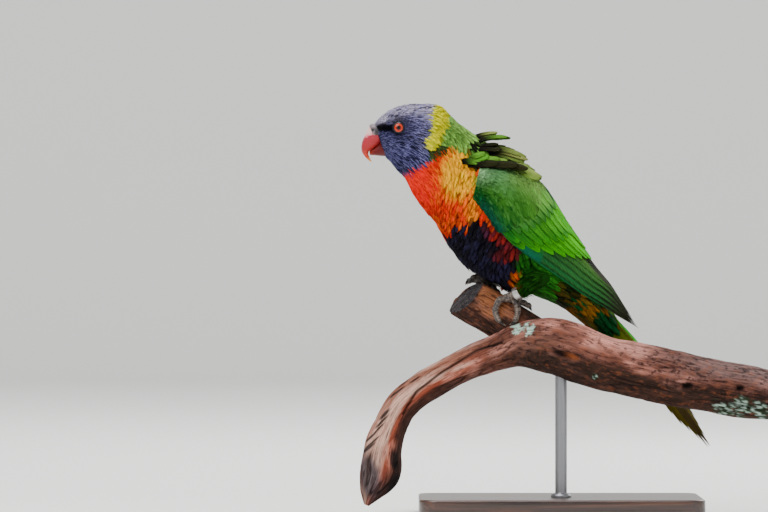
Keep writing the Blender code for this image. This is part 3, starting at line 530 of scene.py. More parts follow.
@dataclass(frozen=True)
class BarkFinish:
    """Weathered branch: bark worn to reddish wood, cracked along the grain, charred and lichened."""

    name: str = "weathered_branch_wood"

    def material(self) -> Material:
        """Grain noise drawn out along the branch over the tone attribute, with dark fine cracks."""
        tree = NodeTree(self.name)
        tone = tree.add("Attribute", {}, "Color", attribute_name="tone")
        bare = tree.add("Attribute", {}, "Alpha", attribute_name="tone")
        grain = tree.add("Attribute", {}, "Vector", attribute_name="grain")
        drawn = tree.add("VectorMath", {0: grain, 1: (0.07, 0.8, 0.8)}, operation="MULTIPLY")
        fibres = tree.add("TexNoise", {"Vector": drawn, "Scale": 1.3, "Detail": 6.0, "Roughness": 0.66})
        drawn = tree.add("VectorMath", {0: grain, 1: (0.22, 0.42, 0.42)}, operation="MULTIPLY")
        flakes = tree.add("TexNoise", {"Vector": drawn, "Scale": 1.0, "Detail": 6.0, "Roughness": 0.6})
        level = tree.add("MapRange", {0: fibres, 1: 0.28, 2: 0.72, 3: 0.35, 4: 1.5})
        shaded = tree.add("VectorMath", {0: tone, 1: level}, operation="MULTIPLY")
        warm = tree.add("MapRange", {0: flakes, 1: 0.54, 2: 0.66, 4: 0.55})
        warm = tree.add("Math", {0: warm, 1: bare}, operation="MULTIPLY")
        warm = tree.add("Math", {0: warm, 1: 0.7}, operation="MULTIPLY")
        coloured = tree.add("Mix", {0: warm, 6: shaded, 7: "#9A5434"}, 2, data_type="RGBA")
        bark = tree.add("MapRange", {0: flakes, 1: 0.46, 2: 0.36, 4: 0.8})
        bark = tree.add("Math", {0: bark, 1: bare}, operation="MULTIPLY")
        barked = tree.add("Mix", {0: bark, 6: coloured, 7: "#2A1A17"}, 2, data_type="RGBA")
        crack = tree.add("MapRange", {0: fibres, 1: 0.40, 2: 0.30})
        dark = tree.add("Mix", {0: crack, 6: barked, 7: "#140C0A"}, 2, data_type="RGBA")
        height = tree.add("Math", {0: flakes, 1: 0.9, 2: fibres}, operation="MULTIPLY_ADD")
        bump = tree.add("Bump", {"Height": height, "Distance": 0.003})
        return tree.finish(Base_Color=dark, Roughness=0.9, Normal=bump, Specular_IOR_Level=0.15)


@dataclass(frozen=True)
class StainedWoodFinish:
    """Dark stained and varnished hardwood: long straight grain under a satin coat."""

    def material(self) -> Material:
        """Grain drawn out along X, about 2 mm between lines."""
        tree = NodeTree("stained_varnished_wood")
        place = tree.add("TexCoord", {}, "Object")
        drawn = tree.add("Mapping", {"Vector": place, "Scale": (9.0, 300.0, 300.0)})
        grain = tree.add("TexNoise", {"Vector": drawn, "Scale": 1.6, "Detail": 5.0, "Roughness": 0.6})
        stops = ((0.3, "#1B100B"), (0.5, "#38211A"), (0.72, "#5A3726"))
        colour = tree.add("ValToRGB", {"Fac": grain}, stops=stops)
        bump = tree.add("Bump", {"Height": grain, "Distance": 0.00015})
        rough = tree.add("MapRange", {0: grain, 1: 0.3, 2: 0.7, 3: 0.28, 4: 0.42})
        return tree.finish(
            Base_Color=colour, Roughness=rough, Normal=bump, Coat_Weight=0.3, Coat_Roughness=0.2
        )


@dataclass(frozen=True)
class SteelFinish:
    """Brushed stainless steel: fine lines round it that spread the highlights."""

    name: str
    colour: str = "#8C8C90"
    scratch: float = 0.5

    def material(self) -> Material:
        """Brush lines about half a millimetre apart, as a change of roughness and a slight bump."""
        tree = NodeTree(self.name)
        place = tree.add("TexCoord", {}, "Object")
        drawn = tree.add("Mapping", {"Vector": place, "Scale": (120.0, 120.0, 1000.0 / self.scratch)})
        lines = tree.add("TexNoise", {"Vector": drawn, "Scale": 1.0, "Detail": 3.0})
        rough = tree.add("MapRange", {0: lines, 1: 0.3, 2: 0.7, 3: 0.34, 4: 0.5})
        bump = tree.add("Bump", {"Height": lines, "Distance": 0.00003})
        return tree.finish(Base_Color=self.colour, Roughness=rough, Normal=bump, Metallic=1.0)


@dataclass
class BodyForm:
    """The bird's body from bill base to tail base, as stations of slightly squared ovals."""

    # Dorsal x and z, ventral x and z, half width: bill base, forehead, lores, eye, crown, back of
    # crown, nape, collar, shoulders, upper breast, breast, belly, rump, vent, tail base.
    stations: Table = (
        (-126.5, 264.9, -118.5, 242.4, 7.2),
        (-121.7, 270.6, -115.6, 239.4, 10.2),
        (-114.9, 275.2, -111.5, 234.3, 12.6),
        (-107.4, 277.8, -108.1, 230.9, 14.0),
        (-99.3, 278.8, -105.4, 227.5, 15.0),
        (-83.0, 277.8, -100.6, 218.3, 15.8),
        (-69.4, 266.6, -94.5, 209.1, 16.8),
        (-53.7, 255.3, -85.7, 198.6, 20.2),
        (-35.4, 244.1, -77.5, 185.0, 23.6),
        (-16.3, 227.1, -66.0, 170.7, 26.2),
        (-2.0, 204.7, -46.9, 158.8, 26.2),
        (10.2, 184.3, -23.1, 150.6, 23.6),
        (21.8, 165.2, -1.4, 141.4, 19.0),
        (32.6, 144.2, 16.3, 128.5, 14.3),
        (37.4, 135.3, 23.1, 122.4, 12.0),
    )
    roundness: float = 2.15
    eye: Triple = (-109.8, 9.6, 262.3)
    eye_hollow: float = 0.9
    eye_reach: float = 6.0

    def section(self, place: Array) -> tuple[Array, Array, Array, Array]:
        """Centre, direction to the back, half height and half width at a station."""
        values = curve_through(self.stations, place)
        half = (values[..., 0:2] - values[..., 2:4]) / 2
        height = np.linalg.norm(half, axis=-1)
        centre = (values[..., 0:2] + values[..., 2:4]) / 2
        return centre, half / height[..., None], height, values[..., 4]

    def point(self, place: Array, angle: Array, grow: Array | float = 0.0) -> Array:
        """A point of the body.

        It lies on an oval with |c|^n + |s|^n = 1, hollowed a little round each eye.

        Args:
            place: The station, from 0 at the bill.
            angle: From 0 at the back, positive down the left side.
            grow: How far outside the body it lies.

        Returns:
            The point, in millimetres.
        """
        place, angle = np.broadcast_arrays(np.asarray(place, float), np.asarray(angle, float))
        centre, back, height, width = self.section(place)
        upward, sideward = squared_turn(angle, 2 / self.roundness)
        flat = centre + back * ((height + grow) * upward)[..., None]
        side = (width + grow) * sideward
        off_eye = np.hypot(flat[..., 0] - self.eye[0], flat[..., 1] - self.eye[2])
        hollow = self.eye_hollow * np.exp(-((off_eye / self.eye_reach) ** 2))
        side = side - np.sign(side) * np.where(np.abs(side) > 5, hollow, 0)
        return np.stack([flat[..., 0], -side, flat[..., 1]], axis=-1)

    def directions(self, place: Array, angle: Array) -> tuple[Array, Array, Array]:
        """Unit vectors towards the tail, down the left side and outwards, from small steps."""
        step = 0.04
        along = unit(self.point(place + step, angle) - self.point(place - step, angle))
        down = unit(self.point(place, angle + step) - self.point(place, angle - step))
        outward = unit(np.cross(along, down))
        centre, _, _, _ = self.section(place)
        middle = np.stack([centre[..., 0], 0 * centre[..., 0], centre[..., 1]], axis=-1)
        turned = np.sign(((self.point(place, angle) - middle) * outward).sum(-1, keepdims=True))
        return along, down, outward * turned


@dataclass
class Markings:
    """The lorikeet's colours over its body, by their borders in the side view."""

    # Borders as x and z. Each runs so that the zone it opens lies on its left.
    head_back: Line = (
        (-86.0, 290.0), (-85.7, 278.5), (-87.5, 272.2), (-87.9, 265.9), (-88.2, 260.4), (-89.2, 256.3),
        (-91.7, 252.1), (-91.3, 249.4), (-89.5, 246.0), (-89.3, 241.5), (-95.5, 234.7), (-104.5, 229.2),
        (-113.0, 223.0),
    )
    collar_back: Line = (
        (-80.0, 290.0), (-79.8, 277.4), (-75.6, 272.2), (-76.2, 265.3), (-78.0, 258.9), (-80.8, 253.4),
        (-83.8, 249.0), (-85.6, 247.0), (-96.0, 246.0),
    )
    breast_top: Line = (
        (-113.0, 223.0), (-104.5, 229.2), (-95.5, 234.7), (-87.7, 240.0), (-80.2, 243.8), (-74.0, 247.2),
        (-70.5, 246.8), (-66.0, 245.8), (-62.8, 244.5), (-60.0, 240.0),
        (-50.0, 236.5), (-40.0, 236.0),
    )
    belly_top: Line = (
        (-95.0, 183.5), (-84.3, 186.3), (-79.6, 189.0), (-73.4, 191.0), (-66.4, 195.9), (-59.4, 198.0),
        (-52.4, 200.0), (-50.3, 202.8), (-38.0, 208.0), (-25.0, 216.0),
    )
    thigh_front: Line = (
        (-22.0, 184.0), (-31.0, 173.0), (-34.7, 167.0), (-33.5, 160.0), (-28.0, 146.0),
    )
    vent_front: Line = (
        (16.0, 178.0), (6.0, 166.0), (-2.0, 153.0), (-4.0, 140.0),
    )
    undertail_front: Line = ((30.0, 168.0), (16.0, 156.0), (4.0, 138.0), (2.0, 128.0))

    def zone(self, line: Line, points: Array, soft: float, ragged: Array) -> Array:
        """Share of a zone at each point, from 0 outside its border to 1 inside, ragged by feathers."""
        return eased(-soft, soft, beyond(line, points[..., 0], points[..., 2]) + ragged)

    def oval(self, points: Array, centre: Spot, size: Spot, turn: float) -> Array:
        """Share of an oval spot in the side view: 1 at its middle, 0 well outside."""
        return 1 - eased(0.6, 1.25, oval_reach(points, centre, size, turn))

    def colours(
        self, points: Array, place: Array, angle: Array, draw: Draw
    ) -> tuple[Array, Array, Array]:
        """Works out the plumage colour at places of the body.

        Zones are laid over one another from bill to tail, each softened over a few
        millimetres and ragged by a random shift for each feather.

        Args:
            points: Places on the body.
            place: Their stations.
            angle: Their angles from the back.
            draw: Gives each feather its own shift and tint.

        Returns:
            The colours of a feather's base and of its tip, and its streak's strength.
        """
        shape = points.shape[:-1]
        ragged = draw.normal(0, 1.0, shape)
        tint = draw.normal(0, 1.0, shape)
        patchy = layered_noise(points / 9.0, 3, 5)
        x, z = points[..., 0], points[..., 2]
        top = np.cos(angle)

        crown = eased(0.35, 0.95, top)
        violet = mixed("#1A1A34", "#302E5C", eased(-0.8, 0.8, patchy + 0.5 * tint))
        violet = mixed(violet, "#DED2DC", crown * np.clip(0.68 + 0.38 * tint, 0.05, 1.0))
        brow = self.oval(points, (-99.0, 263.5), (9.0, 9.0), 0)
        violet = mixed(violet, "#6A6490", 0.6 * brow)
        # Each zone's base is darker than its tip: painted shade over the covered roots.
        base, tip = violet * 0.3, violet
        forehead = self.oval(points, (-122.5, 268.5), (6.5, 4.0), 42)
        tip = mixed(tip, "#EEE6EE", 0.9 * forehead)
        lores = np.maximum(
            self.oval(points, (-119.0, 262.4), (8.4, 3.1), -4),
            self.oval(points, (-109.8, 262.3), (4.5, 4.2), 0),
        )
        base, tip = mixed(base, "#030305", 0.95 * lores), mixed(tip, "#06060C", 0.95 * lores)
        rear = self.oval(points, (-92.5, 256.0), (5.0, 14.0), -6)
        tip = mixed(tip, "#5A5560", 0.5 * rear)
        throat_shade = eased(246.0, 232.0, z)
        streak = (1 - lores) * np.clip(0.5 + 0.3 * tint + 0.3 * crown - 0.3 * throat_shade, 0.08, 1.0)

        green = mixed("#38701E", "#86BE50", eased(-0.6, 1.8, patchy * 1.2 + 0.4 * tint + 1.3 * top))
        green = mixed(green, "#A6DC6A", 0.45 * eased(0.72, 1.0, top))
        nape = self.zone(self.head_back, points, 0.6, ragged * 0.25)
        nape = nape * (1 - eased(243.0, 239.0, z) * eased(-85.0, -90.0, x))
        # Painted shade: a dark olive oval over the lower side of the neck, just above the breast.
        under = self.oval(points, (-82.5, 245.5), (11.5, 4.6), 8)
        green = mixed(green, "#3A3A22", 0.85 * under)
        base, tip = laid(base, tip, green, nape, 0.4)
        streak = streak * (1 - nape)

        collar = nape * (1 - self.zone(self.collar_back, points, 0.6, ragged * 0.25))
        lime = mixed("#C4C600", "#E2D800", eased(-1.2, 1.0, tint + 0.6 * patchy))
        base, tip = laid(base, tip, lime, collar, 0.9)

        ridge = np.interp(place, (10.0, 12.0), (0.15, 0.72))
        back = eased(0.0, 0.3, top - ridge + 0.06 * ragged) * eased(6.8, 7.6, place) * eased(-61.0, -54.0, x)
        breast = (1 - back) * (1 - self.zone(self.breast_top, points, 1.0, ragged * 1.3))
        flame = mixed("#E82A04", "#F66004", eased(-1.0, 1.4, patchy + 0.8 * tint))
        throat = eased(-82.0, -92.0, x + 3.0 * ragged) * eased(200.0, 211.0, z)
        flame = mixed(flame, "#FF1A14", 0.85 * throat)
        gold = self.oval(points, (-68.0, 231.5), (13.0, 18.0), -14)
        flame = mixed(flame, "#FFB000", np.clip(gold * (1.3 + 0.35 * tint), 0, 1))
        side_gold = self.oval(points, (-60.0, 207.0), (4.5, 11.0), 0)
        flame = mixed(flame, "#F58A06", side_gold)
        scalloped = eased(222.0, 203.0, z + 3 * ragged) * (1 - gold)
        edge = mixed(flame, "#7C140C", scalloped * np.clip(0.35 + 0.45 * tint, 0, 0.9))
        base, tip = mixed(base, flame * 0.85, breast), mixed(tip, edge, breast)
        streak = streak * (1 - breast)

        belly = (1 - back) * (1 - self.zone(self.belly_top, points, 1.0, ragged * 2.2))
        dark = mixed("#131119", "#201D36", eased(-0.6, 1.3, patchy + 0.5 * tint))
        flank = np.maximum(
            self.oval(points, (-43.0, 193.0), (10.0, 6.5), -50),
            self.oval(points, (-35.0, 178.5), (11.0, 5.0), 8),
        )
        dark = mixed(dark, "#7E1C16", flank * (0.3 + 0.7 * eased(-0.7, 0.9, tint + patchy)))
        shoulder_line = self.oval(points, (-45.5, 198.5), (11.0, 1.9), -56)
        dark = mixed(dark, "#C4481A", 0.85 * shoulder_line)
        base, tip = laid(base, tip, dark, belly, 0.6)

        thigh = (1 - back) * self.zone(self.thigh_front, points, 1.0, ragged * 1.2)
        moss = mixed("#18500C", "#2C7A1C", eased(-1, 1.4, patchy + 0.6 * tint))
        strip = self.oval(points, (-31.5, 159.0), (2.4, 8.0), -14)
        moss = mixed(moss, "#C84E10", strip)
        base, tip = laid(base, tip, moss, thigh, 0.6)

        vent = (1 - back) * self.zone(self.vent_front, points, 2.0, ragged * 1.5)
        spots = layered_noise(points / 5.0, 2, 15)
        olive = mixed("#142006", "#40360A", eased(-0.6, 0.9, spots + 0.4 * tint))
        base, tip = laid(base, tip, olive, vent, 0.6)
        undertail = (1 - back) * self.zone(self.undertail_front, points, 2.0, ragged * 2.0)
        mottle = spots + 0.25 * tint - 0.5
        mottle = mottle + 1.6 * self.oval(points, (29.5, 128.5), (8.0, 9.0), 30)
        yellow = mixed("#7A5204", "#08401A", eased(-0.35, 0.25, mottle))
        base, tip = laid(base, tip, yellow, undertail, 0.6)

        mantle = mixed("#2C6616", "#5BA02A", eased(-1.3, 1.3, patchy + 0.6 * tint))
        base, tip = laid(base, tip, mantle, back, 0.4)
        # Painted shadow: near-black ovals in the hollows by the ruff and the shoulder.
        hollow = np.maximum(
            self.oval(points, (-51.5, 237.6), (11.5, 3.4), -5),
            self.oval(points, (-57.0, 249.5), (6.5, 2.4), 35),
        )
        base, tip = mixed(base, "#0E0B07", hollow), mixed(tip, "#0E0B07", hollow)
        patch = self.oval(points, (-53.5, 233.8), (6.0, 1.9), 15)
        base, tip = mixed(base, "#F2500E", patch), mixed(tip, "#F2500E", patch)
        light = (1 + 0.12 * tint)[..., None]
        return np.clip(base * light, 0, 1), np.clip(tip * light, 0, 1), streak


@dataclass
class Feathers:
    """Many feathers at once: arrays with one row for each."""

    root: Array
    along: Array
    outward: Array
    length: Array
    width: Array
    lift: Array
    curl: Array
    base: Array
    tip: Array
    streak: Array
    place: Array

    def kept(self, wanted: Array) -> "Feathers":
        """Only the wanted ones."""
        return Feathers(**{name: values[wanted] for name, values in vars(self).items()})


@dataclass(frozen=True)
class VaneShape:
    """How one kind of feather is cut: its outline, its section and how its colours meet."""

    shares: tuple[float, ...] = (0.0, 0.22, 0.5, 0.78, 0.94, 1.0)
    fullness: tuple[float, ...] = (0.35, 0.85, 1.0, 0.82, 0.42, 0.08)
    # Section points: across from -1 to 1, and height as a share of the thickness.
    section: Line = ((-1.0, 0.0), (0.0, 1.0), (1.0, 0.0), (0.0, -0.5))
    thickness: float = 0.3
    camber: float = 0.16
    tip_start: float = 0.35


def build_feathers(name: str, feathers: Feathers, shape: VaneShape) -> Piece:
    """Builds all the feathers as one mesh.

    A feather's line leaves its root at the lift angle and turns back by its curl, evenly
    along its length. Each ring across it is the shape's section, as wide as the outline
    says and bowed by the camber as a parabola.

    Args:
        name: The piece's name.
        feathers: Where they grow and how long, wide, lifted and coloured each is.
        shape: Their outline and section.

    Returns:
        The object, with its plumage attribute, vane map and OFBake map.
    """
    share = np.array(shape.shares)
    across, height = np.array(shape.section).T
    heading = feathers.lift[:, None] - feathers.curl[:, None] * share
    along, outward = feathers.along[:, None, :], feathers.outward[:, None, :]
    direction = np.cos(heading)[..., None] * along + np.sin(heading)[..., None] * outward
    upward = np.cos(heading)[..., None] * outward - np.sin(heading)[..., None] * along
    sideward = np.cross(feathers.outward, feathers.along)[:, None, None, :]
    steps = np.diff(share, prepend=0.0)[None, :, None] * feathers.length[:, None, None]
    line = feathers.root[:, None, :] + np.cumsum(steps * direction, axis=1)
    half = feathers.width[:, None, None] / 2 * np.array(shape.fullness)[None, :, None]
    thin = shape.thickness * (1 - 0.55 * share)[None, :, None]
    rise = height * thin - shape.camber * across**2 * half
    points = (
        line[:, :, None, :]
        + (across * half)[..., None] * sideward
        + rise[..., None] * upward[:, :, None, :]
    )
    count, rows, sides = points.shape[:3]
    flat = points.reshape(-1, 3)
    obj = add_mesh(name, flat, outward_faces(flat, tube_faces(rows, sides, count)))

    # Colours run from the darker base, painted shade over the covered root, to the tip.
    blend = eased(shape.tip_start, shape.tip_start + 0.5, share)[None, :, None]
    colours = mixed(feathers.base[:, None, None, :], feathers.tip[:, None, None, :], blend + 0 * half)
    colours = np.broadcast_to(colours, points.shape).reshape(-1, 3)
    streak = np.broadcast_to(feathers.streak[:, None, None], points.shape[:3]).ravel()
    set_colour(obj, "plumage", colours, streak)
    u = np.broadcast_to((across + 1) / 2, points.shape[:3])
    v = np.broadcast_to(share[None, :, None], points.shape[:3])
    set_uv(obj, "vane", np.stack([u, v], axis=-1).reshape(-1, 2))
    patch = feathers.place[:, None, None, :] + PATCH * (np.stack([u, v], axis=-1) - 0.5)
    set_uv(obj, "OFBake", np.clip(patch, 0, 1).reshape(-1, 2))
    return obj


def lens_section(columns: int, ridge: float = 1.6) -> Line:
    """A thin vane's section: an upper face with a raised shaft, and a lower face between the same edges."""
    across = np.linspace(-1, 1, columns)
    inner = across[1:-1][::-1]
    upper = [(float(c), 0.5 + 0.3 * (1 - c * c) + ridge * math.exp(-((c / 0.12) ** 2))) for c in across]
    lower = [(float(c), -0.5 + 0.3 * (1 - c * c)) for c in inner]
    upper[0], upper[-1] = (-1.0, 0.0), (1.0, 0.0)
    return tuple(upper + lower)


@dataclass
class BodyPlumage:
    """Skin and small feathers of the head, neck and body."""

    form: BodyForm
    markings: Markings
    skin_end: float = 13.95
    coat_depth: float = 1.5
    # Feather length and width at stations along the body, in millimetres.
    places: tuple[float, ...] = (0.0, 0.6, 2.0, 4.0, 5.25, 6.2, 7.4, 9.0, 11.0, 12.5, 14.0)
    lengths: tuple[float, ...] = (2.0, 3.0, 4.4, 5.6, 5.4, 6.8, 9.6, 11.0, 11.0, 12.0, 16.0)
    widths: tuple[float, ...] = (0.7, 0.95, 1.2, 1.5, 1.8, 2.3, 3.4, 4.4, 4.4, 4.8, 5.6)
    cheek_turn: float = 0.12
    breast_turn: float = 1.25
    eye_clear: float = 3.8
    eye_near: float = 11.0
    row_step: float = 0.3
    feather_step: float = 0.62

    def skin(self) -> Piece:
        """The skin: the body's form less the coat's depth, closed at both ends."""
        rows, sides = 190, 96
        places = np.linspace(0.02, self.skin_end, rows)[:, None]
        angles = turns(sides)[None, :]
        depth = self.coat_depth * np.interp(places, (0, 0.6, 5, 8), (0.25, 0.5, 0.8, 1.0))
        rings = self.form.point(places, angles, -depth)
        obj = add_tube("body_skin", rings)
        draw = np.random.default_rng(SEED)
        base, tip, _ = self.markings.colours(rings, places + 0 * angles, angles + 0 * places, draw)
        # Darker than the coat's tips: painted shade under the coat.
        set_colour(obj, "plumage", (0.3 * base + 0.6 * tip).reshape(-1, 3))
        return obj

    def rows(self, start: float, end: float, draw: Draw) -> Feathers:
        """Lays feathers in staggered rows round the body.

        Rows follow one another by a third of a feather's length, measured down the side.
        In a row, feathers are set evenly by arc length, a little over half a width apart.

        Args:
            start: The first station.
            end: The last station.
            draw: Varies each feather.

        Returns:
            The feathers.
        """
        samples = 241
        table = np.linspace(0, 2 * math.pi, samples)
        places, angles = [], []
        station, number = start, 0
        while station < end:
            ring = self.form.point(np.full(samples, station), table)
            reach = reach_along(ring)
            width = np.interp(station, self.places, self.widths)
            length = np.interp(station, self.places, self.lengths)
            count = int(reach[-1] / (self.feather_step * width))
            even = (np.arange(count) + 0.5 * (number % 2)) / count * reach[-1]
            around = np.interp(even, reach, table) + draw.normal(0, 0.16, count) * width / reach[-1] * 6.28
            angles.append(around)
            places.append(station + draw.normal(0, 0.035, count) * length / 8)
            step = self.form.point(station + 0.1, math.pi / 2) - self.form.point(station, math.pi / 2)
            station += self.row_step * length / (np.linalg.norm(step) * 10)
            number += 1
        place, angle = np.concatenate(places), np.concatenate(angles)
        place = np.clip(place, 0.0, 14.0)
        return self.grown(place, angle, draw)

    def lie(self, place: Array, angle: Array) -> Array:
        """How far the lie turns from the body's line down the side, in radians."""
        wrapped = (angle + math.pi) % (2 * math.pi) - math.pi
        side = np.abs(wrapped)
        sides = eased(0.5, 1.1, side) * (1 - eased(2.2, 3.05, side))
        breast = eased(5.6, 6.8, place) * (1 - eased(9.4, 10.8, place))
        cheek = 1 - eased(4.5, 5.5, place)
        return np.sign(wrapped) * sides * (self.breast_turn * breast + self.cheek_turn * cheek)

    def grown(self, place: Array, angle: Array, draw: Draw) -> Feathers:
        """Feathers at given places, with their lie, size and colours."""
        along, down, outward = self.form.directions(place, angle)
        turn = (self.lie(place, angle) + draw.normal(0, 0.09, len(place)))[:, None]
        heading = unit(np.cos(turn) * along + np.sin(turn) * down)
        length = np.interp(place, self.places, self.lengths) * draw.uniform(0.85, 1.15, len(place))
        width = np.interp(place, self.places, self.widths) * draw.uniform(0.88, 1.12, len(place))
        surface = self.form.point(place, angle)
        depth = np.interp(place, (0, 0.6, 5, 8), (0.3, 0.55, 0.8, 1.1))
        shown = surface + heading * (0.55 * length)[:, None]
        base, tip, streak = self.markings.colours(shown, place, angle, draw)
        loose = np.interp(place, (0, 4, 5, 7, 9, 12), (0.18, 0.2, 0.17, 0.26, 0.24, 0.2))
        lift = loose * draw.uniform(0.75, 1.35, len(place))
        fringe = self.markings.oval(surface, (-36.5, 156.0), (9.0, 5.0), -15)
        lift, length = lift + 0.75 * fringe, length * (1 + 0.25 * fringe)
        return Feathers(
            root=surface - outward * depth[:, None],
            along=heading,
            outward=outward,
            length=length,
            width=width,
            lift=lift,
            curl=lift * draw.uniform(0.9, 1.5, len(place)),
            base=base,
            tip=tip,
            streak=streak,
            place=np.stack([place / 15, (angle / (2 * math.pi)) % 1.0], axis=-1),
        )

    def build(self, finishes: Finishes) -> None:
        """Builds the skin and its coat in three lengths of the body."""
        skin = self.skin()
        place_piece(
            skin, Slot.BREAST, SkinFinish().material(),
            "head", "neck", "torso", "tail_base", "thigh_left", "thigh_right",
        )
        draw = np.random.default_rng(SEED + 1)
        eye = np.array(self.form.eye)
        for name, start, end, slot in (
            ("coat_head", 0.03, 5.1, Slot.HEAD),
            ("coat_neck", 5.1, 7.5, Slot.NAPE),
            ("coat_body", 7.5, 13.9, Slot.BREAST),
        ):
            feathers = self.rows(start, end, draw)
            off_eye = np.hypot(feathers.root[:, 0] - eye[0], feathers.root[:, 2] - eye[2])
            clear = off_eye > self.eye_clear
            feathers = feathers.kept(clear)
            near = np.clip(off_eye[clear] / self.eye_near, 0.42, 1)
            feathers.length *= near
            feathers.width *= near
            place_piece(build_feathers(name, feathers, VaneShape()), slot, finishes[slot])


@dataclass
class WingForm:
    """The surface that a folded wing lies on, from its bend to its tip and across from its lower edge."""

    form: BodyForm
    # Upper x and z, lower x and z, distance from the mid plane at the lower edge, middle, upper edge.
    stations: Table = (
        (-55.0, 235.0, -59.2, 216.0, 19.8, 20.8, 17.5),
        (-35.4, 236.3, -49.6, 204.0, 24.5, 24.5, 16.5),
        (-21.1, 230.9, -38.8, 189.0, 26.5, 26.5, 12.5),
        (-8.8, 218.3, -26.5, 178.2, 27.0, 26.5, 8.5),
        (2.0, 200.6, -12.9, 168.6, 25.5, 24.5, 6.0),
        (12.9, 184.3, 1.4, 159.1, 22.5, 21.0, 5.0),
        (23.1, 169.3, 15.6, 148.9, 18.5, 16.5, 4.5),
        (34.0, 155.7, 29.9, 140.1, 14.0, 11.5, 4.2),
        (44.9, 138.0, 42.8, 132.3, 9.0, 7.5, 5.0),
        (53.4, 127.5, 52.7, 126.5, 6.6, 6.4, 6.2),
    )
    clearance: float = 1.3

    def flank(self, x: Array, z: Array) -> Array:
        """How far the body's side lies from the mid plane at places of the side view."""
        stations = np.linspace(6.0, 14.0, 240)
        centre, back, height, width = self.form.section(stations)
        away = np.stack([x, z], axis=-1)[..., None, :] - centre
        across = np.abs(away[..., 0] * back[:, 1] - away[..., 1] * back[:, 0])
        up = (away * back).sum(-1) / height
        nearest = np.argmin(across + 50 * (np.abs(up) > 1.4), axis=-1)
        level = np.abs(np.take_along_axis(up, nearest[..., None], -1)[..., 0])
        power = self.form.roundness
        return width[nearest] * np.clip(1 - level**power, 0, None) ** (1 / power)

    def bed(self, along: Array, across: Array) -> Array:
        """The left wing's bed: a parabola across each station, kept clear of the body's side."""
        along, across = np.broadcast_arrays(np.asarray(along, float), np.asarray(across, float))
        values = curve_through(self.stations, along * (len(self.stations) - 1))
        x = values[..., 2] + (values[..., 0] - values[..., 2]) * across
        z = values[..., 3] + (values[..., 1] - values[..., 3]) * across
        low, middle, high = values[..., 4], values[..., 5], values[..., 6]
        wanted = low * (1 - across) * (1 - 2 * across) + 4 * middle * across * (1 - across)
        wanted = wanted + high * across * (2 * across - 1)
        needed = self.flank(x, z) + self.clearance
        distance = (wanted + needed + np.hypot(wanted - needed, 1.5)) / 2
        return np.stack([x, -distance, z], axis=-1)

    def depth(self, along: Array) -> Array:
        """How wide the wing is across, at places along it."""
        values = curve_through(self.stations, np.asarray(along, float) * (len(self.stations) - 1))
        return np.hypot(values[..., 0] - values[..., 2], values[..., 1] - values[..., 3])

    def length(self) -> float:
        """The wing's length along its middle, in millimetres."""
        line = self.bed(np.linspace(0, 1, 60), 0.5)
        return float(np.linalg.norm(np.diff(line, axis=0), axis=1).sum())

    def placed(self, line: Line) -> Line:
        """Places along and across the wing whose side view is nearest to points given as x and z."""
        along, across = np.meshgrid(np.linspace(0, 1, 201), np.linspace(0, 1, 101), indexing="ij")
        shown = self.bed(along, across)[..., [0, 2]]
        found = []
        for point in line:
            gap = np.linalg.norm(shown - np.array(point), axis=-1)
            nearest = np.unravel_index(np.argmin(gap), along.shape)
            found.append((float(along[nearest]), float(across[nearest])))
        return tuple(found)

    def point(self, along: Array, across: Array, offset: Array | float) -> Array:
        """A point that stands off the bed, along its normal."""
        along, across = np.broadcast_arrays(np.asarray(along, float), np.clip(across, 0.0, 1.0))
        return self.bed(along, across) + self.normal(along, across) * np.asarray(offset, float)[..., None]

    def normal(self, along: Array, across: Array) -> Array:
        """The bed's outward normal, from small steps."""
        step = 0.01
        forward = self.bed(along + step, across) - self.bed(along - step, across)
        upward = self.bed(along, across + step) - self.bed(along, across - step)
        outward = unit(np.cross(upward, forward))
        return outward * -np.sign(outward[..., 1:2])


@dataclass(frozen=True)
class VaneRow:
    """A row of large feathers on a wing or tail.

    The roots lie evenly along one open line and the tips along another. Both lines give
    places along and across the surface. The colours are hex codes, of which the first of a
    pair is for the row's first feather and the second for its last.
    """

    roots: Line
    tips: Line
    count: int
    width: Spot
    height: float
    outer: tuple[str, str]
    inner: str
    end: str
    edge: str
    slope: float = 0.1
    web: float = 0.6
    thickness: float = 0.5
    shaft: float = 0.36
    blunt: float = 0.42
    bow: float = 0.0
    rim: float = 0.8
    fade: float = 0.72


def along_line(line: Sequence[Sequence[float]], count: int) -> Array:
    """Points set evenly by arc length along an open line."""
    corners = np.asarray(line, float)
    reach = reach_along(corners)
    wanted = np.linspace(0, reach[-1], count)
    return np.stack([np.interp(wanted, reach, column) for column in corners.T], axis=-1)


